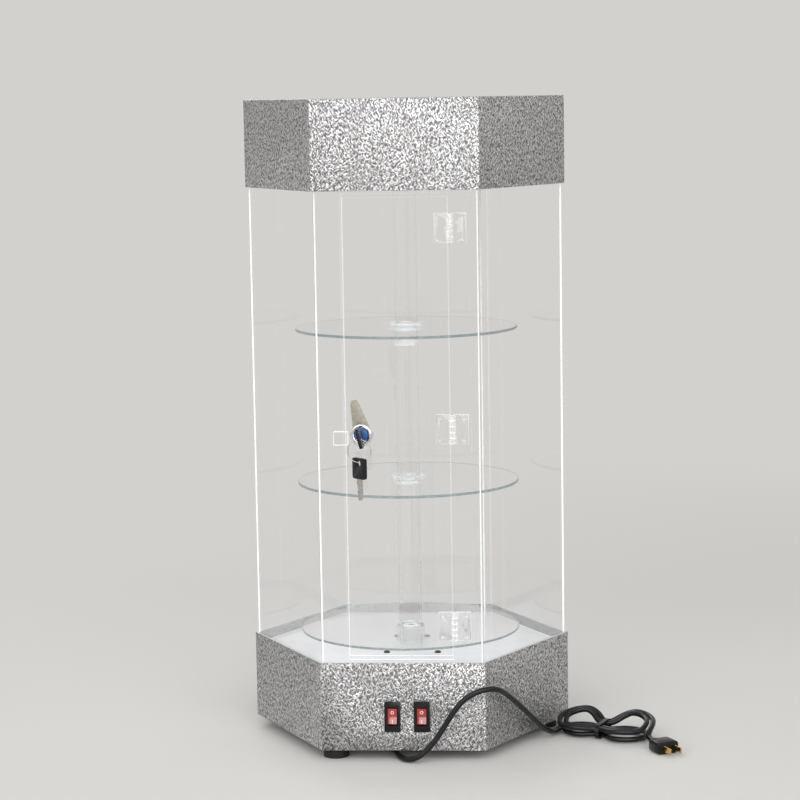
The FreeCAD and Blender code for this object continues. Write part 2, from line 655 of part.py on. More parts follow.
def on_lock(item, turn=0.0):
    """Sets a piece that was made about Z on the lock's axis, with Z pointing out of the door."""
    where = Vector(value("lock_x"), -value("wall_face"), value("lock_z"))
    item.Placement = Placement(where, TURNS["-y"] * Rotation(Vector(0, 0, 1), turn))
    return item


def key_solids(head_low):
    """A key's blade and head along Z, the blade pointing down and the head's lower end at head_low."""
    blade = box(
        ("key_blade_thickness", "key_blade_width", "key_blade_length + key_blade_hidden"),
        ("-key_blade_thickness / 2", "-key_blade_width / 2", f"{head_low} - key_blade_length"))
    slot = box(
        ("key_blade_thickness", "key_blade_width", "key_blade_hidden + 1"),
        ("-key_blade_thickness / 2", "-key_blade_width / 2", f"{head_low} - 1"))
    hole = rod("key_hole_diameter", "key_head_thickness + 2",
               ("-key_head_thickness / 2 - 1", "0", f"{head_low} + key_head_length - key_hole_inset"), "x")
    block = box(
        ("key_head_thickness", "key_head_width", "key_head_length"),
        ("-key_head_thickness / 2", "-key_head_width / 2", head_low))
    doc.recompute()
    corners = [i for i, edge in enumerate(block.Shape.Edges, start=1)
               if abs(edge.tangentAt(edge.FirstParameter).x) > 0.99]
    rounded = doc.addObject("Part::Fillet", "rounded")
    rounded.Base = block
    radius = min(value("key_head_round"), 0.45 * value("key_head_width"))
    rounded.Edges = [(i, radius, radius) for i in corners]
    return blade, cut(rounded, slot, hole)


def moved(item, node):
    """A piece that gets one placement as a whole."""
    return piece(node, group(item))


def lock():
    """The cam lock in the door, its key, the key ring and the spare key."""
    bore = "plug_diameter / 2 + run_gap"
    seat = "plug_face_diameter / 2 + run_gap"
    face = "lock_face_diameter / 2"
    seat_depth = "lock_face_height - plug_face_height + 0.6"
    barrel = turned([
        (bore, "-lock_back"), ("lock_body_diameter / 2", "-lock_back"), ("lock_body_diameter / 2", "0"),
        (face, "0"), (face, "lock_face_height * 0.6"), (f"{face} - 1.2", "lock_face_height"),
        (seat, "lock_face_height"), (seat, f"{seat_depth} - run_gap"), (bore, f"{seat_depth} - run_gap")])
    piece("lock_barrel", on_lock(barrel))
    nut = doc.addObject("Part::Prism", "nut")
    nut.Polygon = 6
    bind(nut, Circumradius="lock_nut_width / sqrt(3)", Height="lock_nut_thickness")
    place(nut, "0", "0", "-panel_thickness - lock_nut_thickness")
    thread = rod("lock_body_diameter + 2 * hole_gap", "lock_nut_thickness + 2",
                 ("0", "0", "-panel_thickness - lock_nut_thickness - 1"))
    on_lock(moved(cut(nut, thread), "lock_nut"))
    turn = value("lock_rest_turn")
    stem = "plug_diameter / 2"
    head = "plug_face_diameter / 2"
    plug_front = f"{seat_depth} + plug_face_height"
    plug = turned([
        ("0", "-lock_back - run_gap"), (stem, "-lock_back - run_gap"), (stem, seat_depth), (head, seat_depth),
        (head, f"{plug_front} - 0.6"), (f"{head} - 0.6", plug_front), ("0", plug_front)])
    key_low = "lock_face_height + key_reach"
    keyway = box(
        ("key_blade_thickness + 2 * keyway_gap", "key_blade_width + 2 * keyway_gap", "lock_back * 3"),
        ("-key_blade_thickness / 2 - keyway_gap", "-key_blade_width / 2 - keyway_gap",
         f"{key_low} - key_blade_length - keyway_gap"))
    on_lock(moved(cut(plug, keyway), "lock_plug"), turn)
    cam_back = "-lock_back - run_gap - cam_thickness"
    cam = extruded([
        ("-cam_width / 2", "-cam_width / 3"), ("-cam_width / 4", "-cam_width / 2"),
        ("cam_width / 4", "-cam_width / 2"), ("cam_width / 2", "-cam_width / 3"), ("cam_width / 2", "cam_width / 4"),
        ("cam_tip_width / 2", "cam_length - 2"), ("cam_tip_width / 2 - 2", "cam_length"),
        ("2 - cam_tip_width / 2", "cam_length"), ("-cam_tip_width / 2", "cam_length - 2"),
        ("-cam_width / 2", "cam_width / 4")], "cam_thickness")
    place(cam, "0", "0", cam_back)
    on_lock(moved(cam, "lock_cam"), turn)
    screw = hexagon("cam_screw_head", "cam_screw_head_height", f"{cam_back} - cam_screw_head_height")
    on_lock(moved(screw, "cam_screw"), turn)
    blade, head_solid = key_solids(key_low)
    on_lock(moved(blade, "key_blade"), turn)
    on_lock(moved(head_solid, "key_head"), turn)
    hoop = doc.addObject("Part::Torus", "hoop")
    bind(hoop, Radius1="key_ring_diameter / 2", Radius2="key_ring_wire / 2")
    hoop.Placement = Placement(Vector(), TURNS["-y"])
    piece("key_ring", place(hoop, "lock_x", "key_ring_y", "key_ring_z"))
    spare_blade, spare_head = key_solids("key_hole_inset - key_head_length")
    for item, node in ((spare_blade, "spare_key_blade"), (spare_head, "spare_key_head")):
        spare = moved(item, node)
        spare.Placement = Placement(Vector(), Rotation(Vector(0, 0, 1), value("spare_key_turn")))
        place(spare, "lock_x", "key_ring_y", "spare_key_z")


def door():
    """The door panel with its lock hole."""
    slab = box(("door_width", "panel_thickness", "door_height"), ("door_left", "-wall_face", "door_bottom"))
    hole = rod("lock_body_diameter + 2 * hole_gap", "panel_thickness + 2",
               ("lock_x", "panel_thickness - wall_face + 1", "lock_z"), "-y")
    piece("door_panel", cut(slab, hole))


def carousel():
    """The shaft, hub, tube, turntable and shelves that turn together."""
    shaft_low = "motor_top - shaft_depth"
    piece("motor_shaft", rod("shaft_diameter", f"hub_floor + coupling_height - ({shaft_low})", ("0", "0", shaft_low)))
    piece("shaft_coupling", place(turned([
        ("shaft_diameter / 2 + hole_gap", "0"), ("tube_bore / 2 - hole_gap", "0"),
        ("tube_bore / 2 - hole_gap", "coupling_height"), ("shaft_diameter / 2 + hole_gap", "coupling_height"),
    ]), "0", "0", "hub_floor"))
    step = "turntable_top - turntable_thickness - hub_floor"
    rise = "turntable_top + hub_rise - hub_floor"
    piece("foot_hub", place(turned([
        ("tube_seat / 2", "0"), ("hub_diameter / 2", "0"), ("hub_diameter / 2", step), ("hub_neck_diameter / 2", step),
        ("hub_neck_diameter / 2", rise), ("tube_seat / 2", rise)]), "0", "0", "hub_floor"))
    piece("turntable_disc", place(turned(ring_points(
        "turntable_diameter", "hub_neck_diameter + 2 * hole_gap", "turntable_thickness", "shelf_edge")),
        "0", "0", "turntable_top - turntable_thickness"))
    piece("centre_tube", place(turned([
        ("tube_bore / 2", "0"), ("tube_diameter / 2", "0"), ("tube_diameter / 2", "tube_top - hub_floor"),
        ("tube_bore / 2", "tube_top - hub_floor")]), "0", "0", "hub_floor"))
    rings = []
    sleeves = []
    for name in ("middle", "upper"):
        top = f"{name}_shelf_top"
        disc = turned(ring_points("shelf_diameter", "tube_seat", "shelf_thickness", "shelf_edge"))
        piece(f"shelf_{name}", place(disc, "0", "0", f"{top} - shelf_thickness"))
        rings.append(place(turned(ring_points("ring_diameter", "tube_seat", "ring_height", "shelf_edge")),
                           "0", "0", top))
        sleeves.append(place(turned(ring_points("sleeve_diameter", "tube_seat", "sleeve_height", "shelf_edge")),
                             "0", "0", f"{top} - shelf_thickness - sleeve_height"))
    piece("shelf_rings", group(*rings))
    piece("shelf_sleeves", group(*sleeves))
    piece("pivot_plug", place(turned([
        ("0", "-pivot_plug_depth"), ("tube_bore / 2 - hole_gap", "-pivot_plug_depth"),
        ("tube_bore / 2 - hole_gap", "0"), ("tube_diameter / 2 - hole_gap", "0"),
        ("tube_diameter / 2 - hole_gap", "tube_top_gap / 2"), ("pivot_diameter / 2", "tube_top_gap / 2"),
        ("pivot_diameter / 2", "pivot_length"), ("0", "pivot_length")]), "0", "0", "tube_top"))


def top_case():
    """The top skirt, cover, ceiling with its bush and lamps, and the lamp lead."""
    piece("top_skirt", skirt("top_skirt_height", "top_rim"))
    piece("top_cover", plate("cover_thickness", "cover_bottom"))
    holes = [rod("bush_diameter + 2 * hole_gap", "ceiling_thickness + 2", ("0", "0", "ceiling_bottom - 1"))]
    holes.append(lamp_lead_hole("ceiling_bottom", "ceiling_thickness"))
    cans = []
    lenses = []
    can_inside = "lamp_can_diameter / 2 - lamp_wall"
    for angle in LAMPS:
        x, y = around("lamp_circle_diameter / 2", angle)
        holes.append(rod("lamp_can_diameter + 2 * hole_gap", "ceiling_thickness + 2", (x, y, "ceiling_bottom - 1")))
        can = turned([
            (can_inside, "-lamp_flange_height"), ("lamp_flange_diameter / 2", "-lamp_flange_height"),
            ("lamp_flange_diameter / 2", "0"), ("lamp_can_diameter / 2", "0"),
            ("lamp_can_diameter / 2", "ceiling_thickness + lamp_can_height"),
            ("0", "ceiling_thickness + lamp_can_height"), ("0", "lens_thickness"), (can_inside, "lens_thickness")])
        cans.append(place(can, x, y, "ceiling_bottom"))
        lenses.append(rod(f"2 * ({can_inside} - hole_gap)", "lens_thickness", (x, y, "ceiling_bottom")))
    piece("ceiling_panel", plate("ceiling_thickness", "ceiling_bottom", *holes))
    piece("lamp_cans", group(*cans))
    piece("lamp_lenses", group(*lenses))
    piece("ceiling_bush", place(turned([
        ("pivot_diameter / 2 + run_gap", "0"), ("bush_diameter / 2", "0"), ("bush_diameter / 2", "ceiling_thickness"),
        ("bush_flange_diameter / 2", "ceiling_thickness"),
        ("bush_flange_diameter / 2", "ceiling_thickness + bush_flange_height"),
        ("pivot_diameter / 2 + run_gap", "ceiling_thickness + bush_flange_height")]), "0", "0", "ceiling_bottom"))
    lead_low = "bottom_top + driver_height"
    piece("lamp_lead", rod("lamp_lead_diameter", f"ceiling_top + 10 - ({lead_low})",
                           (*around("lamp_lead_circle", LAMP_LEAD_CORNER), lead_low)))


# The lead's free route from the strain relief's tip to the hank: it lies on the floor in front of the base,
# stands up against the front, goes round the front right corner and comes down beside the right front side.
FREE_ROUTE = [
    (-6, -144, 4.6), (2, -156, 3.4), (14, -162.5, 6), (25.5, -163.5, 15.5), (35.5, -163.5, 27.5),
    (44.5, -163.5, 41.5), (53.5, -163.5, 56.5), (63.5, -163.5, 69), (73.5, -163.5, 76), (83, -163.2, 80),
    (92.5, -159.8, 81), (100.5, -153, 79), (107.5, -141, 72.5), (116, -126.3, 61.5), (125, -110.7, 49),
    (133.5, -96, 36.5), (141.5, -81, 24), (149.8, -66, 12.5), (155.8, -54.8, 7.2),
]
STRAIGHT_END = 1.2


def plan(degrees):
    """The level direction at an angle in plan."""
    return Vector(math.cos(math.radians(degrees)), math.sin(math.radians(degrees)), 0)


def relief_tip():
    """Where the lead leaves its strain relief."""
    start = Vector(value("gland_x"), value("gland_y"), value("foot_height + gland_floor_gap") / 2)
    return start + plan(value("gland_heading")) * value("gland_length / 2 + relief_length")


def free_tube(points, radius):
    """A tube along straight runs joined by arcs as large as the runs allow."""
    edges = []
    radii = []
    at = points[0]
    for before, corner, after in zip(points, points[1:], points[2:]):
        back = (before - corner).normalize()
        ahead = (after - corner).normalize()
        turn = math.pi - back.getAngle(ahead)
        reach = 0.45 * min(before.distanceToPoint(corner), corner.distanceToPoint(after))
        radii.append(reach / math.tan(turn / 2))
        middle = (back + ahead).normalize()
        arc_start = corner + back * reach
        arc_end = corner + ahead * reach
        arc_middle = corner + middle * (radii[-1] / math.cos(turn / 2) - radii[-1])
        edges.append(Part.LineSegment(at, arc_start).toShape())
        edges.append(Part.Arc(arc_start, arc_middle, arc_end).toShape())
        at = arc_end
    edges.append(Part.LineSegment(at, points[-1]).toShape())
    return tube(edges, radius), radii


def tube(edges, radius):
    """A round tube along joined edges, and its length."""
    path = Part.Wire(edges)
    start = edges[0]
    heading = start.tangentAt(start.FirstParameter)
    ring = Part.Wire(Part.makeCircle(radius, start.valueAt(start.FirstParameter), heading))
    shell = Part.BRepOffsetAPI.MakePipeShell(path)
    shell.add(ring)
    shell.build()
    shell.makeSolid()
    made = shell.shape()
    section = math.pi * radius ** 2
    print(f"tube volume {made.Volume:.0f}, section times length {section * path.Length:.0f}, length {path.Length:.0f}")
    return made


def arc(start, heading, end):
    """An arc that leaves its start along the heading, or a line where they agree."""
    chord = end - start
    along = Vector(chord).normalize()
    side = heading - along * heading.dot(along)
    if side.Length < 1e-6:
        return Part.LineSegment(start, end).toShape()
    half = math.atan2(side.Length, heading.dot(along))
    middle = start + chord * 0.5 + side.normalize() * (chord.Length / 2 * math.tan(half / 2))
    return Part.Arc(start, middle, end).toShape()


def biarcs(stations):
    """Pairs of arcs through stations of (point, heading), tangent all the way."""
    edges = []
    for (start, out), (end, into) in zip(stations, stations[1:]):
        span = end - start
        both = span.dot(out + into)
        spread = 2 * (1 - out.dot(into))
        square = span.dot(span)
        if spread < 1e-9:
            reach = square / (2 * both)
        else:
            reach = (math.sqrt(both ** 2 + spread * square) - both) / spread
        joint = (start + end + (out - into) * reach) * 0.5
        edges.append(arc(start, out, joint))
        last = edges[-1]
        edges.append(arc(joint, last.tangentAt(last.LastParameter), end))
    return edges


def hank_stations():
    """Points and headings of the hank's turns: inwards on the floor, then outwards on top, from its near end.

    Each turn is two lobes and a waist, made of circles that touch: all turns share the circles' centres, so one
    turn keeps its distance from the next all the way round.
    """
    size = {name: sheet.get(name) for name in OWNER if name.startswith("hank_")}
    along = plan(size["hank_heading"])
    across = plan(size["hank_heading"] + 90)
    waist = Vector(size["hank_x"], size["hank_y"], size["hank_floor"])
    turns_per_layer = 1.5
    turns = 3.5
    stations = []
    for i in range(int(turns * 12) + 1):
        done = i / 12
        inset = size["hank_step"] * min(done, 2 * turns_per_layer - done)
        around_end = [lobe_stations(size, "near", inset, -1), lobe_stations(size, "far", inset, 1)]
        neck = ((0, size["hank_waist"] - inset), (1, 0), 0)
        back = [*around_end[0], neck, *reversed(around_end[1])]
        front = [mirrored(station) for station in reversed(back[1:-1])]
        (u, v), (ahead, aside), lift = (back + front)[i % 12]
        layer = min(1, max(0, 6 * (done - turns_per_layer) + 0.5))
        leaving = i == turns * 12
        rise = layer * (size["hank_layer"] + (0.05 if leaving else lift) * size["hank_fan"])
        stations.append((waist + along * u + across * v + Vector(0, 0, rise), along * ahead + across * aside))
    return climbing(stations)


def lobe_stations(size, lobe, inset, side):
    """A lobe's end, its back, and where it passes into the waist, as (place, heading, lift) along the hank."""
    reach = size[f"hank_{lobe}_reach"]
    drawn_in = size[f"hank_{lobe}_radius"] - size["hank_waist"]
    radius = size[f"hank_{lobe}_radius"] - inset
    rise = (reach ** 2 - drawn_in ** 2) / (2 * drawn_in)
    span = math.hypot(reach, rise)
    tip = ((side * (reach + radius), 0), (0, -side), 0.55)
    back = ((side * reach, radius), (1, 0), 1)
    pass_point = (side * (reach - radius * reach / span), radius * rise / span)
    return [tip, back, (pass_point, (rise / span, side * reach / span), 0.1)]


def mirrored(station):
    """The station on the front side of the same turn, where the lead runs the other way and lies lower."""
    (u, v), (ahead, aside), lift = station
    return (u, -v), (-ahead, aside), 0.15 * lift


def climbing(stations):
    """The same stations with headings that follow the rise from each to the next."""
    made = []
    for i, (point, heading) in enumerate(stations):
        before = stations[max(i - 1, 0)][0]
        after = stations[min(i + 1, len(stations) - 1)][0]
        level = math.hypot(after.x - point.x, after.y - point.y) + math.hypot(point.x - before.x, point.y - before.y)
        slope = 0 if i == 0 else (after.z - before.z) / level
        made.append((point, (heading + Vector(0, 0, slope)).normalize()))
    return made


def least_gap(edges, diameter):
    """The least clear distance between parts of a wound tube that aren't next to each other along it."""
    spacing = diameter / 3
    points = Part.Wire(edges).discretize(Distance=spacing)
    apart = math.ceil(2.5 * diameter / spacing)
    return min(p.distanceToPoint(q) for i, p in enumerate(points) for q in points[i + apart:]) - diameter


def lead():
    """The lead's outlet, free stretch, hank, tie and plug."""
    diameter = value("cord_diameter")
    heading = value("gland_heading")
    centre = Vector(value("gland_x"), value("gland_y"), 0)
    height = "foot_height - gland_floor_gap"
    block = box(("gland_length", "gland_width", height), ("-gland_length / 2", "-gland_width / 2", "gland_floor_gap"))
    relief = doc.addObject("Part::Cone", "relief")
    bind(relief, Radius1="relief_base_diameter / 2", Radius2="relief_tip_diameter / 2", Height="relief_length")
    relief.Placement = Placement(Vector(), TURNS["x"])
    place(relief, "gland_length / 2", "0", "(foot_height + gland_floor_gap) / 2")
    stem = rod("gland_stem_diameter", "bottom_thickness + gland_nut_height + 1", ("0", "0", "foot_height - 1"))
    nut = rod("gland_nut_diameter", "gland_nut_height", ("0", "0", "bottom_top"))
    outlet = moved(fuse(block, relief, stem, nut), "lead_outlet")
    outlet.Placement = Placement(centre, Rotation(Vector(0, 0, 1), heading))

    stations = hank_stations()
    entry, entry_heading = stations[0]
    tail = Vector(value("plug_tail_x"), value("plug_tail_y"), value("plug_tail_z"))
    ahead = plan(value("plug_heading"))
    straight = STRAIGHT_END * diameter
    hank_start = entry - entry_heading * straight
    stations.append((tail - ahead * straight, ahead))
    turns = biarcs(stations)
    turns.insert(0, Part.LineSegment(hank_start, entry).toShape())
    turns.append(Part.LineSegment(tail - ahead * straight, tail).toShape())
    tightest = min(edge.Curve.Radius for edge in turns if edge.Curve.TypeId == "Part::GeomCircle")
    print(f"hank: least gap to itself {least_gap(turns, diameter):.2f}, tightest bend {tightest:.1f}")
    piece("cord_hank", solid(tube(turns, diameter / 2)))

    exit_point = relief_tip()
    first_run = exit_point + plan(heading) * 1.5 * diameter
    last_run = hank_start - entry_heading * 1.5 * diameter
    route = [exit_point, first_run, *(Vector(*p) for p in FREE_ROUTE), last_run, hank_start]
    stretch, radii = free_tube(route, diameter / 2)
    print("free stretch: runs", [round(p.distanceToPoint(q), 1) for p, q in zip(route, route[1:])])
    print("free stretch: bend radii", [round(r, 1) for r in radii])
    piece("cord_free", solid(stretch))

    half = "hank_waist + hank_step / 4 + cord_diameter / 2 + tie_slack"
    tall = "hank_layer + cord_diameter + tie_gap + tie_slack"
    low = "hank_floor - cord_diameter / 2 - tie_gap"
    band = box(("tie_width", f"2 * ({half} + tie_thickness)", f"{tall} + 2 * tie_thickness"),
               ("-tie_width / 2", f"-({half} + tie_thickness)", f"{low} - tie_thickness"))
    inside = box(("tie_width + 2", f"2 * ({half})", tall), ("-tie_width / 2 - 1", f"-({half})", low))
    tie = moved(cut(band, inside), "hank_tie")
    tie.Placement = Placement(Vector(value("hank_x"), value("hank_y"), 0),
                              Rotation(Vector(0, 0, 1), value("hank_heading")))
    plug(tail)


def plug(tail):
    """The moulded plug with its two flat blades, lying on the floor."""
    taper = doc.addObject("Part::Cone", "taper")
    bind(taper, Radius1="plug_relief_diameter / 2", Radius2="plug_relief_end / 2", Height="plug_relief_length + 1")
    taper.Placement = Placement(Vector(), TURNS["x"])
    block = box(("plug_length", "plug_width", "plug_thickness"),
                ("plug_relief_length", "-plug_width / 2", "-plug_thickness / 2"))
    doc.recompute()
    rounded = doc.addObject("Part::Fillet", "rounded")
    rounded.Base = block
    radius = min(value("plug_round"), 0.45 * value("plug_thickness"))
    rounded.Edges = [(i, radius, radius) for i, edge in enumerate(block.Shape.Edges, start=1)
                     if abs(edge.tangentAt(edge.FirstParameter).x) > 0.99]
    body = moved(fuse(taper, rounded), "plug_body")
    blades = [box(("blade_length", "blade_thickness", "blade_width"),
                  ("plug_relief_length + plug_length", f"{side} * blade_spacing / 2 - blade_thickness / 2",
                   "-blade_width / 2")) for side in (-1, 1)]
    pair = piece("plug_blades", group(*blades))
    for item in (body, pair):
        item.Placement = Placement(tail, Rotation(Vector(0, 0, 1), value("plug_heading")))


def check():
    """Stops unless every object was made and every piece is a sound shape."""
    for item in doc.Objects:
        if {"Invalid", "Error"} & set(item.State):
            raise RuntimeError(f"{item.Name} ({item.Label}) failed: {item.State}")
    for node, item in pieces.items():
        shape = item.Shape
        if shape.isNull() or not shape.isValid() or not shape.Solids:
            raise RuntimeError(f"{node} is not a sound solid")
        print(f"{node}: {len(shape.Solids)} solids, {shape.Volume / 1000:.2f} cm3")


base_case()
drive()
switches()
walls()
door()
hinges()
lock()
carousel()
top_case()
lead()
doc.recompute()
check()
os.makedirs("parts", exist_ok=True)
for node, item in pieces.items():
    item.Shape.exportStep(f"parts/{node}.step")
print(f"{len(pieces)} nodes written")
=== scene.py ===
# %% [markdown]
# # A clear hexagonal display case, dressed for its picture
# The solid model already holds every piece of the case in its true place and size. This lesson loads it as
# a fixed frame and gives each piece the surface of the real one: embossed aluminium sheet, clear acrylic
# with its bright cut edges, white deck, chrome lock, moulded switches and a soft black lead.

# %% Load the frame
import json
import math

import bmesh
import bpy
from mathutils import Matrix, Vector

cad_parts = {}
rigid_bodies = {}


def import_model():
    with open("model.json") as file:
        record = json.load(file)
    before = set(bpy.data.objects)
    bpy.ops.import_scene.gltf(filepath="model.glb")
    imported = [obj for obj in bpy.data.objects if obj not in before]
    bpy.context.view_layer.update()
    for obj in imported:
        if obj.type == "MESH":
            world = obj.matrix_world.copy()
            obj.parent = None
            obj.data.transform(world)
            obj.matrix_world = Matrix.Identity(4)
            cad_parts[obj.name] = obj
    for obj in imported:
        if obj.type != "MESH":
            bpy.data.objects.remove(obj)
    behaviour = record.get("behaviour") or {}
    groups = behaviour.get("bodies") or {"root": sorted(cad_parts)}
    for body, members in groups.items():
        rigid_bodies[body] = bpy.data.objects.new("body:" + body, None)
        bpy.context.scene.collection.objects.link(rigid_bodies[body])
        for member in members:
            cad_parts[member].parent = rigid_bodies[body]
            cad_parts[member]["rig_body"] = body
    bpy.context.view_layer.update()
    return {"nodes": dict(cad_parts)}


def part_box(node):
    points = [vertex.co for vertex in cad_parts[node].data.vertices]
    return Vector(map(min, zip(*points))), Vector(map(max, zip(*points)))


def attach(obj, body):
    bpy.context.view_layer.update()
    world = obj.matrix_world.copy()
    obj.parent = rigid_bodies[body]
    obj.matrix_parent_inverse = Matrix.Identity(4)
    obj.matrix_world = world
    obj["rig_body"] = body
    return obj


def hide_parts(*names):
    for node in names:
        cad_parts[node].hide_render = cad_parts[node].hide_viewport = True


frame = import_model()
nodes = frame["nodes"]
MM = 0.001

# %% [markdown]
# ## The camera
# A picture's view can be found by matching a few corners of the object with their places in the picture.
# The position, the angles and the focal length below come from such a match, in the case's own frame. A
# camera looks along its own -Z, so its matrix is built from the directions to the right, up and back.

# %% Camera
PICTURE_SIDE, SENSOR_WIDTH, FARTHEST_SEEN = 800, 36, 60
FOCAL_PIXELS = 2417.3
CAMERA_PLACE = Vector((0.17072, -2.64643, 0.70214))
YAW, PITCH, ROLL = (math.radians(a) for a in (-3.8688, 7.1754, -0.9123))

level_forward = Vector((math.sin(YAW), math.cos(YAW), 0))
forward = math.cos(PITCH) * level_forward - Vector((0, 0, math.sin(PITCH)))
level_right = Vector((math.cos(YAW), -math.sin(YAW), 0))
level_up = level_right.cross(forward)
right = math.cos(ROLL) * level_right + math.sin(ROLL) * level_up
up = math.cos(ROLL) * level_up - math.sin(ROLL) * level_right
lens = bpy.data.cameras.new("picture_camera")
lens.sensor_width = SENSOR_WIDTH
lens.lens = SENSOR_WIDTH * FOCAL_PIXELS / PICTURE_SIDE
lens.clip_end = FARTHEST_SEEN
camera = bpy.data.objects.new("picture_camera", lens)
turned = Matrix((right, up, -forward)).transposed().to_4x4()
camera.matrix_world = Matrix.Translation(CAMERA_PLACE) @ turned
bpy.context.scene.collection.objects.link(camera)
bpy.context.scene.camera = camera
print("lens", round(lens.lens, 1), "mm")

# %% [markdown]
# ## Colours and nodes
# Colours are picked as sRGB hex values, the way a colour picker shows them, but shaders work with linear
# light. One function turns one into the other. A second one adds a node, sets it and links it, so a
# material reads as a list. It serves the geometry trees too.

# %% Helpers for materials and node trees


def linear(code):
    """A hex colour as linear red, green, blue and alpha."""
    parts = [int(code[i:i + 2], 16) / 255 for i in (1, 3, 5)]
    return (*(c / 12.92 if c <= 0.04045 else ((c + 0.055) / 1.055) ** 2.4 for c in parts), 1)


def add(tree, kind, inputs=None, stops=(), **settings):
    """Adds a node: its settings and ramp stops, and for each input a value or a link from another socket."""
    made = tree.nodes.new(kind)
    for name, value in settings.items():
        setattr(made, name, value)
    for i, (position, code) in enumerate(stops):
        element = made.color_ramp.elements[i] if i < 2 else made.color_ramp.elements.new(position)
        element.position = position
        element.color = linear(code)
    for name, value in (inputs or {}).items():
        if isinstance(value, bpy.types.NodeSocket):
            tree.links.new(value, made.inputs[name])
        else:
            made.inputs[name].default_value = value
    return made.outputs


def material(name, **sockets):
    """A new material with one shader, whose even sockets are set here."""
    made = bpy.data.materials.new(name)
    made.use_nodes = True
    shader = made.node_tree.nodes["Principled BSDF"]
    for socket, value in sockets.items():
        shader.inputs[socket.replace("_", " ")].default_value = value
    return made, made.node_tree, shader.inputs


print("helpers ready")

# %% [markdown]
# ## Floor, background and light
# The case stands on a plain pale floor. Far from it the floor fades into the background's own colour, so no
# horizon line cuts through the clear walls. The background also shows to rays that metal or acrylic sends
# on. Three large soft lamps light the case. The key lamp stands behind the camera, where the embossed front
# sends it back in flashes. Its picture would also wander through the clear walls and lie on the shelves as
# white patches, as on a photographer's table before black flags are set, so rays that have gone through
# acrylic don't see the lamps.

# %% Floor and world
BACKGROUND, AMBIENT = "#d3d1ce", 0.42
FLOOR_HALF, FADE_START, FADE_END = 8, 0.7, 2.2

floor_mesh = bpy.data.meshes.new("floor")
corners = [(x * FLOOR_HALF, y * FLOOR_HALF, 0) for x, y in ((-1, -1), (1, -1), (1, 1), (-1, 1))]
floor_mesh.from_pydata(corners, [], [(0, 1, 2, 3)])
floor = bpy.data.objects.new("floor", floor_mesh)
bpy.context.scene.collection.objects.link(floor)

# Painted studio floor: pale and matt, and far from the case it becomes the background.
floor_paint, tree, _ = material("painted_studio_floor", Base_Color=linear("#dbd9d6"), Roughness=0.8)
place = add(tree, "ShaderNodeTexCoord")["Object"]
distance = add(tree, "ShaderNodeVectorMath", {0: place}, operation="LENGTH")["Value"]
fade = add(tree, "ShaderNodeMapRange", {"Value": distance, "From Min": FADE_START, "From Max": FADE_END},
           interpolation_type="SMOOTHSTEP")["Result"]
glow = add(tree, "ShaderNodeEmission", {"Color": linear(BACKGROUND), "Strength": 1})[0]
painted = tree.nodes["Principled BSDF"].outputs[0]
mix = add(tree, "ShaderNodeMixShader", {0: fade, 1: painted, 2: glow})[0]
tree.links.new(mix, tree.nodes["Material Output"].inputs["Surface"])
floor_mesh.materials.append(floor_paint)

world = bpy.data.worlds.new("studio")
bpy.context.scene.world = world
world.use_nodes = True
sky = world.node_tree
sky.nodes.clear()
ray = add(sky, "ShaderNodeLightPath")
seen = ray["Is Camera Ray"]
for kind in ("Is Glossy Ray", "Is Transmission Ray"):
    seen = add(sky, "ShaderNodeMath", {0: seen, 1: ray[kind]}, operation="MAXIMUM")[0]
ambient = add(sky, "ShaderNodeBackground", {"Color": linear("#ffffff"), "Strength": AMBIENT})[0]
backdrop = add(sky, "ShaderNodeBackground", {"Color": linear(BACKGROUND), "Strength": 1})[0]
mix = add(sky, "ShaderNodeMixShader", {0: seen, 1: ambient, 2: backdrop})[0]
add(sky, "ShaderNodeOutputWorld", {"Surface": mix})
bpy.context.scene.view_settings.view_transform = "Standard"
print("floor and world")

# %% Lamps
LAMPS = [  # name, place, the point that it faces, width, height, watts
    ("key_lamp", (-0.2, -3.2, 2.3), (-0.2, 0, 2.3), 6, 3.6, 185),
    ("fill_lamp", (2.4, -1.3, 1.2), (0, 0, 0.35), 0.8, 1.6, 5),
    ("rim_lamp", (-0.9, 2.2, 2.2), (0, 0, 0.4), 1.2, 1.2, 20),
]


def softbox(name, place, target, width, height, power):
    """A rectangular lamp that faces a point of the case."""
    lamp = bpy.data.lights.new(name, "AREA")
    lamp.shape = "RECTANGLE"
    lamp.size = width
    lamp.size_y = height
    lamp.energy = power
    made = bpy.data.objects.new(name, lamp)
    made.location = place
    made.rotation_euler = (Vector(target) - Vector(place)).to_track_quat("-Z", "Y").to_euler()
    made.visible_transmission = False
    bpy.context.scene.collection.objects.link(made)


for lamp in LAMPS:
    softbox(*lamp)
print(len(LAMPS), "lamps")

# %% [markdown]
# ## The mains lead
# The lead leaves the base underneath, lies on the floor, stands up in an arch over the front right corner
# and ends in a tied hank with its plug. A NURBS spline of order 3 bends evenly between its control points,
# which a real cable does too, so one spline carries the whole lead. The hank follows the same circles as
# the solid model: two lobes and a waist, wound inwards on the floor and outwards on top.

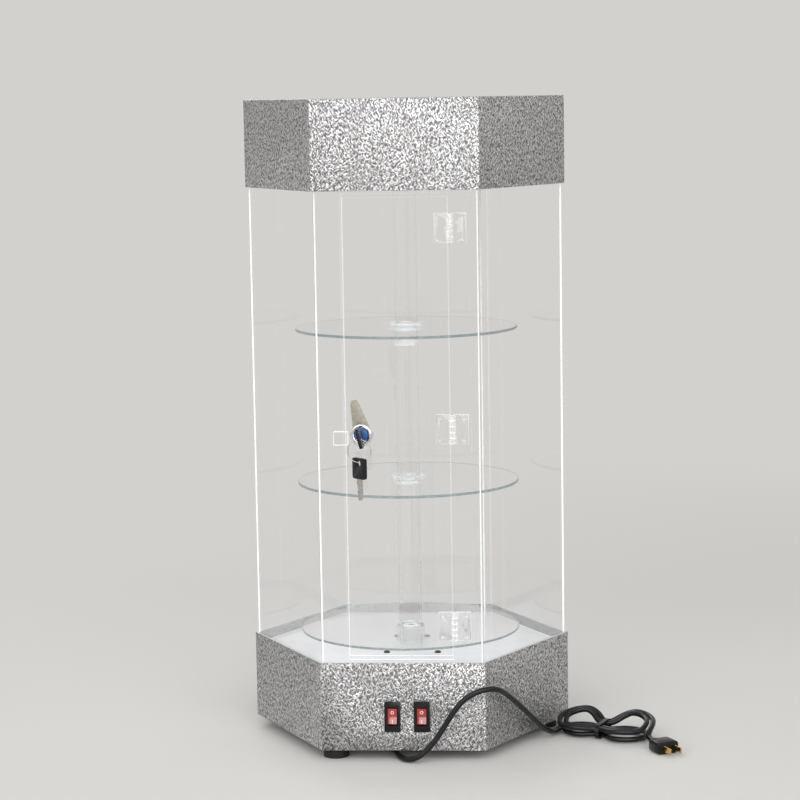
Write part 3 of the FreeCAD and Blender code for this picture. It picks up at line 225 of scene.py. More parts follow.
# %% Route of the lead
CORD_DIAMETER = 6 * MM
LEAD_OUTLET = Vector((-22, -92, 6.4))
LEAD_HEADING, RELIEF_REACH, STRAIGHT_OUT = -74, 31, 9
FREE_ROUTE = [
    (-6, -144, 4.6), (2, -156, 3.4), (14, -162.5, 6), (25.5, -163.5, 15.5), (35.5, -163.5, 27.5),
    (44.5, -163.5, 41.5), (53.5, -163.5, 56.5), (63.5, -163.5, 69), (73.5, -163.5, 76), (83, -163.2, 80),
    (92.5, -159.8, 81), (100.5, -153, 79), (107.5, -141, 72.5), (116, -126.3, 61.5), (125, -110.7, 49),
    (133.5, -96, 36.5), (141.5, -81, 24), (149.8, -66, 12.5), (155.8, -54.8, 7.2),
]
HANK_WAIST_PLACE = Vector((212, -47, 4.8))
HANK_HEADING = -22
HANK_STEP, HANK_LAYER, HANK_FAN, HANK_WAIST = 6.9, 6.9, 12, 15.6
HANK_TURNS, POINTS_PER_TURN, CLIMB_TURN, FRONT_LIFT = 3.5, 24, 1.5, 0.15
# For each lobe: its side, the distance of its centre, its radius, the angles of its points and their lifts.
HANK_LOBES = {
    "near": (-1, 24, 24.5, (180, 150, 120, 90, 66), (0.55, 0.7, 0.9, 1, 0.6)),
    "far": (1, 27, 27, (114, 90, 60, 30, 0), (0.6, 1, 0.9, 0.7, 0.55)),
}
SHOULDER_ANGLE, SHOULDER_LIFT = 55, 0.1
HANK_RUN_IN, HANK_RUN_OUT, HANK_DROP = (16.2, 7.2), 10, 4
PLUG_TAIL = Vector((267.8, -96, 7.2))
PLUG_HEADING, PLUG_RUN_IN, PLUG_LIFT = -62, (15, 5), 1.5
# A spline of order 3 cuts inside its control points, so on an arc they stand a little further out.
SPLINE_SWELL = 1 / 0.966


def plan(degrees):
    """The level direction at an angle in plan."""
    return Vector((math.cos(math.radians(degrees)), math.sin(math.radians(degrees)), 0))


def half_turn(inset):
    """Control points from the near lobe's tip to the far one's along the back, as (along, across, lift)."""
    points = []
    for name, (side, reach, radius, angles, lifts) in HANK_LOBES.items():
        swollen = (radius - inset) * SPLINE_SWELL
        lobe = []
        for angle, lift in zip(angles, lifts):
            on_arc = swollen * plan(angle)
            lobe.append((side * reach + on_arc.x, on_arc.y, lift))
        drawn_in = radius - HANK_WAIST
        rise = (reach ** 2 - drawn_in ** 2) / (2 * drawn_in)
        bend = rise - (HANK_WAIST - inset)
        on_bend = bend * plan(SHOULDER_ANGLE)
        shoulder = (side * on_bend.x, rise - on_bend.y, SHOULDER_LIFT)
        waist = (0, HANK_WAIST - inset, 0)
        points += [*lobe, shoulder, waist] if name == "near" else [shoulder, *lobe]
    return points


def hank_points():
    """The hank's control points in order, each at its place, layer and lift."""
    along, across = plan(HANK_HEADING), plan(HANK_HEADING + 90)
    made = []
    for i in range(int(HANK_TURNS * POINTS_PER_TURN) + 1):
        done = i / POINTS_PER_TURN
        back = half_turn(HANK_STEP * min(done, 2 * CLIMB_TURN - done))
        front = [(u, -v, FRONT_LIFT * lift) for u, v, lift in reversed(back[1:-1])]
        u, v, lift = (back + front)[i % POINTS_PER_TURN]
        layer = min(1, max(0, 6 * (done - CLIMB_TURN) + 0.5))
        height = Vector((0, 0, layer * (HANK_LAYER + lift * HANK_FAN)))
        made.append(HANK_WAIST_PLACE + along * u + across * v + height)
    return made


lead_way, hank_way, plug_way = plan(LEAD_HEADING), plan(HANK_HEADING + 90), plan(PLUG_HEADING)
lead_exit = LEAD_OUTLET + lead_way * RELIEF_REACH
turns = hank_points()
route = [lead_exit, lead_exit + lead_way * STRAIGHT_OUT, *(Vector(p) for p in FREE_ROUTE)]
route += [*(turns[0] - hank_way * before for before in HANK_RUN_IN), *turns]
route.append(turns[-1] - hank_way * HANK_RUN_OUT + Vector((0, 0, -HANK_DROP)))
route.append(PLUG_TAIL - plug_way * PLUG_RUN_IN[0] + Vector((0, 0, PLUG_LIFT)))
route += [PLUG_TAIL - plug_way * PLUG_RUN_IN[1], PLUG_TAIL]
print("control points of the lead:", len(route))

# %% [markdown]
# PVC sheath comes out of its die with a satin skin, dulled a little by dust. A fine noise in its roughness
# keeps the long highlight on each turn from looking drawn with a ruler.

# %% Lead
# Black PVC sheath: dark and satin, with soft broken highlights.
cord_pvc, tree, shader = material("black_pvc_sheath", Specular_IOR_Level=0.35)
place = add(tree, "ShaderNodeTexCoord")["Object"]
dust = add(tree, "ShaderNodeTexNoise", {"Vector": place, "Scale": 1 / (9 * MM), "Detail": 4})["Fac"]
gloss = add(tree, "ShaderNodeMapRange", {
    "Value": dust, "From Min": 0.3, "From Max": 0.7, "To Min": 0.26, "To Max": 0.42})["Result"]
tone = add(tree, "ShaderNodeValToRGB", {"Fac": dust}, stops=[(0.3, "#0a0a0b"), (0.75, "#151517")])["Color"]
tree.links.new(gloss, shader["Roughness"])
tree.links.new(tone, shader["Base Color"])

line = bpy.data.curves.new("mains_lead", "CURVE")
line.dimensions = "3D"
spline = line.splines.new("NURBS")
spline.points.add(len(route) - 1)
for point, where in zip(spline.points, route):
    point.co = (*(where * MM), 1)
spline.order_u = 3
spline.use_endpoint_u = True
spline.resolution_u = 8
line.bevel_depth = CORD_DIAMETER / 2
line.bevel_resolution = 5
line.use_fill_caps = True
line.materials.append(cord_pvc)
lead = bpy.data.objects.new("mains_lead", line)
bpy.context.scene.collection.objects.link(lead)
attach(lead, "cabinet")
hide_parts("cord_free", "cord_hank")
print("lead", round(spline.calc_length(), 3), "m")

# %% [markdown]
# ## Copies of solids
# A solid's mesh is loose triangles and stays untouched. Where a piece needs smooth round faces, softened
# edges, a second material on its cut edges or a UV map, a copy is welded together, its flat faces are made
# whole again, and the copy stands in for the solid. A Bevel modifier gives the edges the small radius that
# catches the light, and its hardened normals keep the flats flat.

# %% Helpers for new pieces
WELD, FLAT_TURN, SHARP_TURN, BEVEL_TURN = 0.002 * MM, math.radians(0.5), math.radians(30), 35


def settled(made):
    """The object with its modifiers turned into a plain mesh."""
    baked = bpy.data.meshes.new_from_object(made.evaluated_get(bpy.context.evaluated_depsgraph_get()))
    made.modifiers.clear()
    made.data = baked
    baked.name = made.name
    return made


def new_piece(name, mesh):
    """An object in the scene for a mesh, at the origin."""
    made = bpy.data.objects.new(name, mesh)
    bpy.context.scene.collection.objects.link(made)
    return made


def copied(node, name, bevel=0.0, angle=BEVEL_TURN, shrink=0.0):
    """A welded smooth copy of a CAD node's mesh with whole flat faces, its edges rounded by a bevel."""
    mesh = bpy.data.meshes.new(name)
    work = bmesh.new()
    work.from_mesh(nodes[node].data)
    bmesh.ops.remove_doubles(work, verts=work.verts, dist=WELD)
    bmesh.ops.dissolve_limit(work, angle_limit=FLAT_TURN, verts=work.verts, edges=work.edges)
    for vertex in work.verts:
        vertex.co -= vertex.normal * shrink
    work.to_mesh(mesh)
    work.free()
    mesh.materials.clear()
    mesh.shade_smooth()
    made = new_piece(name, mesh)
    if not bevel:
        mesh.set_sharp_from_angle(angle=SHARP_TURN)
        return made
    rounding = made.modifiers.new("rounding", "BEVEL")
    rounding.width = bevel
    rounding.segments = 2
    rounding.limit_method = "ANGLE"
    rounding.angle_limit = math.radians(angle)
    rounding.harden_normals = True
    return settled(made)


def stands_for(made, slot, *names):
    """The piece rides where the named nodes ride and is shown in their place."""
    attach(made, nodes[names[0]]["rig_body"])
    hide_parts(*names)
    return made


print("copy helpers ready")

# %% [markdown]
# ## Embossed aluminium skirts
# The skirts are aluminium-faced composite sheet, rolled with a stucco pattern of short dashes that slant
# both ways. The rolls polish the raised dashes, so one that faces the lamps flashes white, and the hollows
# between them stay dull and grey. On top of that the base colour is painted: pale on the raised dashes as a
# painted highlight, and dark in the hollows as painted shade, wherever the lamps stand. Each slant is a
# noise that is stretched along it, and the higher of the two makes the height. The height drives the bump,
# the gloss and this painted highlight and shade. It follows a UV map that runs round the six sides in
# metres, because Object coordinates would smear it on the slanted sides. The side that faces into the case
# keeps a pale coat of lacquer, which scatters the light that comes in through the acrylic.

# %% Embossed sheet
DASH_LENGTH, DASH_WIDTH, DASH_SLANTS, DASH_HEIGHT = 4 * MM, 1.4 * MM, (-58, 50), 2 * MM
SWAY_PITCH, SWAY_REACH = 30 * MM, 9 * MM
HOLLOW_TOP, CREST_FOOT = 0.5, 0.58


def stucco(name, metallic, hollow_painted_shade, crest_painted_highlight):
    """A stucco-embossed sheet: its raised dashes are polished by the rolls and carry a painted highlight, and
    its hollows stay dull and carry painted shade.
    """
    made, tree, shader = material(name, Metallic=metallic)
    flat = add(tree, "ShaderNodeUVMap", uv_map="round_the_case")["UV"]
    sway = add(tree, "ShaderNodeTexNoise", {"Vector": flat, "Scale": 1 / SWAY_PITCH, "Detail": 0})["Color"]
    sway = add(tree, "ShaderNodeVectorMath", {0: sway, 1: (0.5, 0.5, 0.5)}, operation="SUBTRACT")[0]
    sway = add(tree, "ShaderNodeVectorMath", {0: sway, "Scale": SWAY_REACH}, operation="SCALE")[0]
    swayed = add(tree, "ShaderNodeVectorMath", {0: flat, 1: sway}, operation="ADD")[0]
    slants = []
    for slant in DASH_SLANTS:
        slanted = add(tree, "ShaderNodeMapping", {
            "Vector": swayed, "Rotation": (0, 0, math.radians(slant)), "Scale": (DASH_LENGTH, DASH_WIDTH, 1)},
            vector_type="TEXTURE")[0]
        slants.append(add(tree, "ShaderNodeTexNoise", {"Vector": slanted, "Scale": 1, "Detail": 1})["Fac"])
    height = add(tree, "ShaderNodeMath", {0: slants[0], 1: slants[1]}, operation="MAXIMUM")[0]
    raised = add(tree, "ShaderNodeMapRange", {
        "Value": height, "From Min": HOLLOW_TOP, "From Max": CREST_FOOT},
        interpolation_type="SMOOTHSTEP")["Result"]
    # Painted light: the crests take the pale colour as a painted highlight, and the hollows the dark one as
    # painted shade.
    tone = add(tree, "ShaderNodeValToRGB", {"Fac": raised}, stops=[(0.1, hollow_painted_shade), (0.9, crest_painted_highlight)])["Color"]
    dull = add(tree, "ShaderNodeMapRange", {"Value": raised, "To Min": 0.5, "To Max": 0.24})["Result"]
    bump = add(tree, "ShaderNodeBump", {"Height": height, "Strength": 1, "Distance": DASH_HEIGHT})["Normal"]
    tree.links.new(tone, shader["Base Color"])
    tree.links.new(dull, shader["Roughness"])
    tree.links.new(bump, shader["Normal"])
    return made


# Stucco-embossed aluminium: bare metal outside, and a pale lacquer over the same dashes inside.
# On both, the pale crest colour is a painted highlight and the dark hollow colour is painted shade.
embossed = stucco("stucco_embossed_aluminium", 1, "#717070", "#d2d2d3")
inner_skin = stucco("lacquered_inner_skin", 0.4, "#7d7c7c", "#dededd")

# Sawn edge of composite sheet: two thin skins of metal and a pale core, with fine saw marks.
sheet_core, tree, shader = material("sawn_composite_sheet", Roughness=0.45, Metallic=0.6)
place = add(tree, "ShaderNodeTexCoord")["Object"]
saw = add(tree, "ShaderNodeTexNoise", {"Vector": place, "Scale": 1 / (1.2 * MM), "Detail": 2})["Fac"]
tone = add(tree, "ShaderNodeValToRGB", {"Fac": saw}, stops=[(0.3, "#b3b2b0"), (0.7, "#dcdbd9")])["Color"]
tree.links.new(tone, shader["Base Color"])
print("embossed dashes", DASH_LENGTH, "x", DASH_WIDTH)

# %% Skirts
SKIRT_BEVEL, LEVEL, UV_LEVEL, SIDE_SHIFT = 0.5 * MM, 0.8, 0.7, 0.3


def round_the_case(mesh):
    """UVs in metres: round the hexagon on its sides, plan view on level faces."""
    uv = mesh.uv_layers.new(name="round_the_case")
    for face in mesh.polygons:
        level = abs(face.normal.z) > UV_LEVEL
        side = round((math.degrees(math.atan2(face.normal.y, face.normal.x)) + 30) / 60)
        angle = math.radians(side * 60 - 30)
        along = Vector((-math.sin(angle), math.cos(angle), 0))
        for i in face.loop_indices:
            where = mesh.vertices[mesh.loops[i].vertex_index].co
            uv.data[i].uv = where.xy if level else (where.dot(along) + SIDE_SHIFT * side, where.z)


for node in ("base_skirt", "top_skirt"):
    skirt = copied(node, f"embossed_{node}", bevel=SKIRT_BEVEL)
    for finish in (embossed, sheet_core, inner_skin):
        skirt.data.materials.append(finish)
    round_the_case(skirt.data)
    for face in skirt.data.polygons:
        faces_in = face.center.xy.dot(face.normal.xy) < 0
        face.material_index = 1 if abs(face.normal.z) > LEVEL else 2 if faces_in else 0
    stands_for(skirt, "aluminium_sheet", node)
    print(skirt.name, len(skirt.data.polygons), "faces")

# %% [markdown]
# ## Clear acrylic
# The walls, door, shelves, tube and hinges are cast acrylic. It is clear as glass with an index of 1.49, so
# it shows itself by reflections, by the bending at its thickness and by its edges: a sawn and
# flame-polished edge gathers light from the whole sheet and looks like a white line, and the turned rim of
# a round shelf is duller. The glow of the polished edges is painted light, an emission that stands in for
# the gathered light. Light has to reach what stands inside, so lamps pass the sheet as if it were
# open. Two clear pieces that touch would share a face, and a ray could not tell which one it leaves, so
# every copy is drawn in by a few hundredths of a millimetre.

# %% Acrylic finishes
# Cast clear acrylic: no colour, a perfect gloss and an even index.
ACRYLIC_IOR = 1.49
acrylic, tree, _ = material("cast_clear_acrylic", Base_Color=linear("#ffffff"), Roughness=0, IOR=ACRYLIC_IOR,
                            Transmission_Weight=1)
lamp_ray = add(tree, "ShaderNodeLightPath")["Is Shadow Ray"]
way_through = add(tree, "ShaderNodeBsdfTransparent", {"Color": linear("#f8fafa")})[0]
glass = tree.nodes["Principled BSDF"].outputs[0]
mix = add(tree, "ShaderNodeMixShader", {0: lamp_ray, 1: glass, 2: way_through})[0]
tree.links.new(mix, tree.nodes["Material Output"].inputs["Surface"])


def cut_edge(name, dark, light, glow):
    """A cut edge of acrylic: its emission is a painted glow that stands in for the light its sheet has
    gathered, and the saw broke its gloss.
    """
    made, tree, shader = material(name, IOR=ACRYLIC_IOR, Emission_Color=linear(light), Emission_Strength=glow)
    place = add(tree, "ShaderNodeTexCoord")["Object"]
    marks = add(tree, "ShaderNodeTexNoise", {"Vector": place, "Scale": 1 / (4 * MM), "Detail": 3})["Fac"]
    gloss = add(tree, "ShaderNodeMapRange", {"Value": marks, "To Min": 0.18, "To Max": 0.42})["Result"]
    tone = add(tree, "ShaderNodeValToRGB", {"Fac": marks}, stops=[(0.3, dark), (0.7, light)])["Color"]
    through = add(tree, "ShaderNodeBsdfTranslucent", {"Color": tone})[0]
    tree.links.new(gloss, shader["Roughness"])
    tree.links.new(tone, shader["Base Color"])
    surface = tree.nodes["Principled BSDF"].outputs[0]
    both = add(tree, "ShaderNodeMixShader", {0: 0.5, 1: surface, 2: through})[0]
    tree.links.new(both, tree.nodes["Material Output"].inputs["Surface"])
    return made


# Polished edge: a bright white line, with a painted glow by emission for the light its sheet gathers.
# Turned edge: a grey-green rim.
polished_edge_painted_glow = cut_edge("polished_acrylic_edge", "#eef1f2", "#ffffff", 0.75)
turned_edge = cut_edge("turned_acrylic_edge", "#8f9a9b", "#aeb8b9", 0)
# Cemented joint: solvent welds two sheets into one, so only one of the two mitred edges can be seen.
joint, _, _ = material("cemented_acrylic_joint", Alpha=0)
# Clouded acrylic: small turned or moulded pieces, through which most of the light goes straight on in a haze.
clouded, _, _ = material("clouded_acrylic", Base_Color=linear("#f6f8f8"), Roughness=0.3, Alpha=0.3)
print("acrylic finishes ready")

# %% Acrylic pieces
SHEETS = ["front_frame", "panel_front_right", "panel_rear_right", "panel_rear", "panel_rear_left",
          "panel_front_left", "door_panel", "hinge_fixed_leaves", "hinge_door_leaves", "keeper_block"]
DISCS = ["turntable_disc", "shelf_middle", "shelf_upper"]
TURNED = ["centre_tube", "foot_hub", "shelf_rings", "shelf_sleeves", "pivot_plug"]
CEMENTED = ["panel_front_right", "panel_rear", "panel_front_left"]
CLOUDED = ["foot_hub", "shelf_rings", "shelf_sleeves"]
DRAWN_IN, HINGE_BEVEL, KNUCKLE_REACH = 0.05 * MM, 0.5 * MM, 3.2 * MM
SMALLEST_SHEET, SQUARE_ON = 4 * MM * MM, 0.9
pin_line = sum(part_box("hinge_pins"), Vector()) / 2

for node in SHEETS + DISCS + TURNED:
    is_hinge = "hinge" in node
    clear = copied(node, f"acrylic_{node}", bevel=HINGE_BEVEL if is_hinge else 0, shrink=DRAWN_IN)
    clear.data.materials.append(clouded if node in CLOUDED else acrylic)
    if node not in TURNED:
        edge = turned_edge if node in DISCS else joint if node in CEMENTED else polished_edge_painted_glow
        clear.data.materials.append(edge)
        facing = max(clear.data.polygons, key=lambda face: face.area).normal.copy()
        for face in clear.data.polygons:
            is_sheet = abs(face.normal.dot(facing)) > SQUARE_ON and face.area > SMALLEST_SHEET
            face.material_index = 0 if is_sheet else 1
    if is_hinge:
        clear.data.materials.append(clouded)
        for face in clear.data.polygons:
            on_knuckle = (face.center - pin_line).xy.length < KNUCKLE_REACH
            if on_knuckle and abs(face.normal.z) < SQUARE_ON:
                face.material_index = 2
    stands_for(clear, "clear_acrylic", node)
print("acrylic on", len(SHEETS + DISCS + TURNED), "pieces")

# %% [markdown]
# ## Boards, mouldings and rubber
# The deck and the ceiling are white PVC foam board, cut from sheet: satin, with a faint mottle and a few
# rub marks. Moulded pieces have two close tones and the fine texture that spark erosion leaves in a mould.

# %% Boards and mouldings
# White PVC foam board: a satin skin with a faint mottle.
board, tree, shader = material("white_pvc_board")
place = add(tree, "ShaderNodeTexCoord")["Object"]
mottle = add(tree, "ShaderNodeTexNoise", {"Vector": place, "Scale": 1 / (30 * MM), "Detail": 5})["Fac"]
tone = add(tree, "ShaderNodeValToRGB", {"Fac": mottle}, stops=[(0.3, "#dedce0"), (0.7, "#e7e6e9")])["Color"]
gloss = add(tree, "ShaderNodeMapRange", {"Value": mottle, "To Min": 0.3, "To Max": 0.5})["Result"]
tree.links.new(tone, shader["Base Color"])
tree.links.new(gloss, shader["Roughness"])


def moulded(name, dark, light, roughness, grain, **sockets):
    """A moulded plastic or rubber: two close tones and a fine texture from the mould, its grain in mm."""
    made, tree, shader = material(name, Roughness=roughness, **sockets)
    place = add(tree, "ShaderNodeTexCoord")["Object"]
    cloud = add(tree, "ShaderNodeTexNoise", {"Vector": place, "Scale": 1 / (12 * MM), "Detail": 3})["Fac"]
    tone = add(tree, "ShaderNodeValToRGB", {"Fac": cloud}, stops=[(0.3, dark), (0.7, light)])["Color"]
    fine = add(tree, "ShaderNodeTexNoise", {"Vector": place, "Scale": 1 / (grain * MM), "Detail": 2})["Fac"]
    bump = add(tree, "ShaderNodeBump", {"Height": fine, "Strength": 0.18, "Distance": 0.1 * MM})["Normal"]
    tree.links.new(tone, shader["Base Color"])
    tree.links.new(bump, shader["Normal"])
    return made


# Grey PVC board: dull and even.
grey_board = moulded("grey_pvc_board", "#8b8b8c", "#989899", 0.55, 1.5)
# Turned nylon: milky white with a soft sheen.
post_nylon = moulded("turned_nylon", "#d2d1cc", "#e0dfda", 0.45, 1)
# Moulded rubber: nearly black, with no clear highlight.
foot_rubber = moulded("moulded_rubber", "#0d0d0d", "#1b1b1b", 0.75, 0.8)
# Spark-textured ABS: black with a broad, broken sheen.
black_abs = moulded("spark_textured_abs", "#0c0c0d", "#151516", 0.3, 0.5, Specular_IOR_Level=0.3)
# Red polycarbonate: a deep red under a hard gloss that goes pale where it mirrors a lamp.
red_lens = moulded("red_polycarbonate", "#8a0908", "#a0100d", 0.15, 2, Coat_Weight=1, Coat_IOR=1.65)
# Blue enamel: an even glossy cap.
blue_cap = moulded("blue_enamelled_cap", "#1f4a86", "#2f62a6", 0.2, 1)
# White PVC sheath: a thin pale line with a soft highlight.
white_pvc = moulded("white_pvc_sheath", "#ebebe9", "#f6f6f4", 0.4, 1)
# White printing ink: flat, and a little stained by the red under it.
white_ink = moulded("white_printing_ink", "#e9d9d6", "#f4e9e6", 0.4, 0.5)
print("moulded finishes ready")

# %% [markdown]
# ## Metals
# Chrome is a mirror with a trace of blue. Nickel-plated steel is a little rougher, with fine marks from its
# tumbling. Zinc-plated drive pieces are greyer. Brass contacts have the colour of their copper.

# %% Metal finishes


def plated(name, dark, light, rough_low, rough_high, grain):
    """A plated metal whose tone and gloss wander a little, over a grain in mm."""
    made, tree, shader = material(name, Metallic=1)
    place = add(tree, "ShaderNodeTexCoord")["Object"]
    wander = add(tree, "ShaderNodeTexNoise", {"Vector": place, "Scale": 1 / (grain * MM), "Detail": 4})["Fac"]
    tone = add(tree, "ShaderNodeValToRGB", {"Fac": wander}, stops=[(0.3, dark), (0.7, light)])["Color"]
    gloss = add(tree, "ShaderNodeMapRange", {
        "Value": wander, "From Min": 0.3, "From Max": 0.7,
        "To Min": rough_low, "To Max": rough_high})["Result"]
    tree.links.new(tone, shader["Base Color"])
    tree.links.new(gloss, shader["Roughness"])
    return made


# Bright chrome plate: a mirror. Nickel plate: warmer, with blurred highlights.
chrome = plated("bright_chrome_plate", "#d5d6d9", "#e4e5e8", 0.05, 0.12, 3)
nickel = plated("nickel_plated_steel", "#b6b3ae", "#cdcac6", 0.16, 0.3, 2)
# Zinc plate: grey and satin. Passivated zinc: the same with a straw tint.
zinc = plated("zinc_plated_steel", "#8f9194", "#abacae", 0.3, 0.45, 4)
passivated = plated("passivated_zinc_plate", "#989585", "#aeab9b", 0.3, 0.45, 3)
# Bright brass: pale gold. Black oxide: dark steel with a dull sheen.
brass = plated("bright_brass", "#c9a860", "#dcc07c", 0.15, 0.28, 2)
black_oxide = plated("black_oxide_steel", "#1c1c1d", "#2c2c2d", 0.3, 0.45, 1.5)

# Frosted lamp lens: a white diffuser with small prisms.
lamp_glass, tree, shader = material("frosted_lamp_lens", Base_Color=linear("#f7f6f0"), Roughness=0.45,
                                    IOR=ACRYLIC_IOR)
place = add(tree, "ShaderNodeTexCoord")["Object"]
prisms = add(tree, "ShaderNodeTexVoronoi", {"Vector": place, "Scale": 1 / (2.5 * MM)})["Distance"]
bump = add(tree, "ShaderNodeBump", {"Height": prisms, "Strength": 0.3, "Distance": 0.3 * MM})["Normal"]
tree.links.new(bump, shader["Normal"])
print("metal finishes ready")

# %% [markdown]
# ## Rounded fittings
# Feet, switches, lock and plug are moulded, cast or turned, so none of their edges is sharp. Each is a copy
# of its solid with an edge radius of its own kind: a millimetre on rubber, a third of that on a chromed
# rim.

# %% Fittings
ROCKER_TURN = 12
FITTINGS = [  # solid, edge radius in mm, finish, slot
    ("rubber_feet", 1.2, foot_rubber, "rubber"),
    ("switch_housings", 0.5, black_abs, "black_plastic"),
    ("rocker_left", 0.4, red_lens, "red_plastic"),
    ("rocker_right", 0.4, red_lens, "red_plastic"),
    ("lock_barrel", 0.3, chrome, "chrome"),
    ("lock_nut", 0.4, nickel, "chrome"),
    ("lock_plug", 0.2, blue_cap, "blue_plastic"),
    ("lock_cam", 0.3, passivated, "steel"),
    ("cam_screw", 0.4, nickel, "steel"),
    ("key_head", 0.7, black_abs, "black_plastic"),
    ("spare_key_head", 0.7, black_abs, "black_plastic"),
    ("plug_body", 0.9, black_abs, "black_plastic"),
    ("plug_blades", 0.3, brass, "brass"),
    ("lead_outlet", 0.6, black_abs, "black_plastic"),
    ("lamp_cans", 0.3, chrome, "chrome"),
    ("hinge_pins", 0.3, nickel, "steel"),
]
for node, radius, finish, slot in FITTINGS:
    edge_turn = ROCKER_TURN if "rocker" in node else BEVEL_TURN
    fitting = copied(node, f"rounded_{node}", bevel=radius * MM, angle=edge_turn)
    fitting.data.materials.append(finish)
    stands_for(fitting, slot, node)

PLAIN = {
    board: ["base_deck", "ceiling_panel", "thrust_washer", "ceiling_bush"],
    grey_board: ["bottom_plate", "top_cover", "lamp_driver"],
    post_nylon: ["corner_posts", "shaft_coupling"],
    nickel: ["foot_screws"],
    zinc: ["motor_plate", "gear_motor", "motor_shaft"],
    brass: ["switch_terminals"],
    lamp_glass: ["lamp_lenses"],
    white_pvc: ["lamp_lead"],
}
for finish, names in PLAIN.items():
    for name in names:
        nodes[name].data.materials.clear()
        nodes[name].data.materials.append(finish)
print(len(FITTINGS), "rounded fittings,", sum(len(names) for names in PLAIN.values()), "solids with a finish")

# %% [markdown]
# ## Screws and the split ring
# Four screws hold the motor under the deck, and the keys hang on a ring of wire that is wound twice. Both
# follow a rule, so Geometry Nodes make them: screws as instances on points, and the ring as a wire along a
# spiral.

# %% Helper for grown pieces


def new_tree(name, **sockets):
    """A geometry tree with named inputs, its input and output nodes, and geometry in and out."""
    tree = bpy.data.node_groups.new(name, "GeometryNodeTree")
    tree.interface.new_socket("Geometry", in_out="INPUT", socket_type="NodeSocketGeometry")
    for socket, kind in sockets.items():
        tree.interface.new_socket(socket.replace("_", " "), in_out="INPUT", socket_type=f"NodeSocket{kind}")
    tree.interface.new_socket("Geometry", in_out="OUTPUT", socket_type="NodeSocketGeometry")
    return tree, add(tree, "NodeGroupInput")


def grown(name, tree, points, values):
    """The mesh that a tree makes from points, with the values of its named inputs."""
    mesh = bpy.data.meshes.new(name)
    mesh.from_pydata(points, [], [])
    made = new_piece(name, mesh)
    growth = made.modifiers.new("growth", "NODES")
    growth.node_group = tree
    for item in tree.interface.items_tree:
        if item.in_out == "INPUT" and item.name in values:
            growth[item.identifier] = values[item.name]
    return settled(made)


print("grown pieces ready")

# %% Deck screws
SCREW_PLACES = ((32.5, -51.5), (-23.5, -51.5), (16.5, 19), (-16.5, 19))
# The cross recess: the length and width of its bars in head radii, and the lift of its floor in head heights.
RECESS_LENGTH, RECESS_WIDTH, RECESS_LIFT = 1.1, 0.26, 1.05
SLIVER = 0.02 * MM

tree, given = new_tree("pan_head_screws", Head_Radius="Float", Head_Height="Float", Shank_Radius="Float",
                       Shank_Length="Float", Steel="Material")
head_size = add(tree, "ShaderNodeCombineXYZ", {
    0: given["Head Radius"], 1: given["Head Radius"], 2: given["Head Height"]})[0]
dome = add(tree, "GeometryNodeMeshUVSphere", {"Segments": 24, "Rings": 12, "Radius": 1})["Mesh"]
dome = add(tree, "GeometryNodeSetShadeSmooth", {0: dome})[0]
dome = add(tree, "GeometryNodeTransform", {"Geometry": dome, "Scale": head_size})[0]
recess = []
for length, width in ((RECESS_LENGTH, RECESS_WIDTH), (RECESS_WIDTH, RECESS_LENGTH)):
    bar = add(tree, "GeometryNodeMeshCube", {"Size": (length, width, 1)})["Mesh"]
    lifted = add(tree, "GeometryNodeTransform", {"Geometry": bar, "Translation": (0, 0, RECESS_LIFT)})[0]
    recess.append(add(tree, "GeometryNodeTransform", {"Geometry": lifted, "Scale": head_size})[0])
crossed = dome
for bar in recess:
    crossed = add(tree, "GeometryNodeMeshBoolean", {"Mesh 1": crossed, "Mesh 2": bar}, operation="DIFFERENCE",
                  solver="EXACT")[0]
crossed = add(tree, "GeometryNodeMergeByDistance", {"Geometry": crossed, "Distance": SLIVER})[0]
half_down = add(tree, "ShaderNodeMath", {0: given["Shank Length"], 1: -0.5}, operation="MULTIPLY")[0]
below = add(tree, "ShaderNodeCombineXYZ", {2: half_down})[0]
shank = add(tree, "GeometryNodeMeshCylinder", {
    "Vertices": 16, "Radius": given["Shank Radius"], "Depth": given["Shank Length"]})["Mesh"]
shank = add(tree, "GeometryNodeTransform", {"Geometry": shank, "Translation": below})[0]
screw = tree.nodes.new("GeometryNodeJoinGeometry")
for portion in (crossed, shank):
    tree.links.new(portion, screw.inputs[0])
set_in = add(tree, "GeometryNodeInstanceOnPoints", {
    "Points": given["Geometry"], "Instance": screw.outputs[0]})[0]
whole = add(tree, "GeometryNodeRealizeInstances", {"Geometry": set_in})[0]
whole = add(tree, "GeometryNodeSetMaterial", {"Geometry": whole, "Material": given["Steel"]})[0]
add(tree, "NodeGroupOutput", {"Geometry": whole})
deck_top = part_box("base_deck")[1].z
places = [(x * MM, y * MM, deck_top) for x, y in SCREW_PLACES]
screws = grown("deck_screws", tree, places, {
    "Head Radius": 3.75 * MM, "Head Height": 2.2 * MM, "Shank Radius": 2 * MM, "Shank Length": 12 * MM,
    "Steel": black_oxide})
stands_for(screws, "black_screw", "motor_screws")
print("screws", len(screws.data.polygons), "faces")

# %% Split ring
# Windings, their whole height in wire radii, and the place of the wire's ends round the ring.
RING_WINDINGS, RING_HEIGHT, RING_ENDS = 1.95, 3.9, math.radians(40)

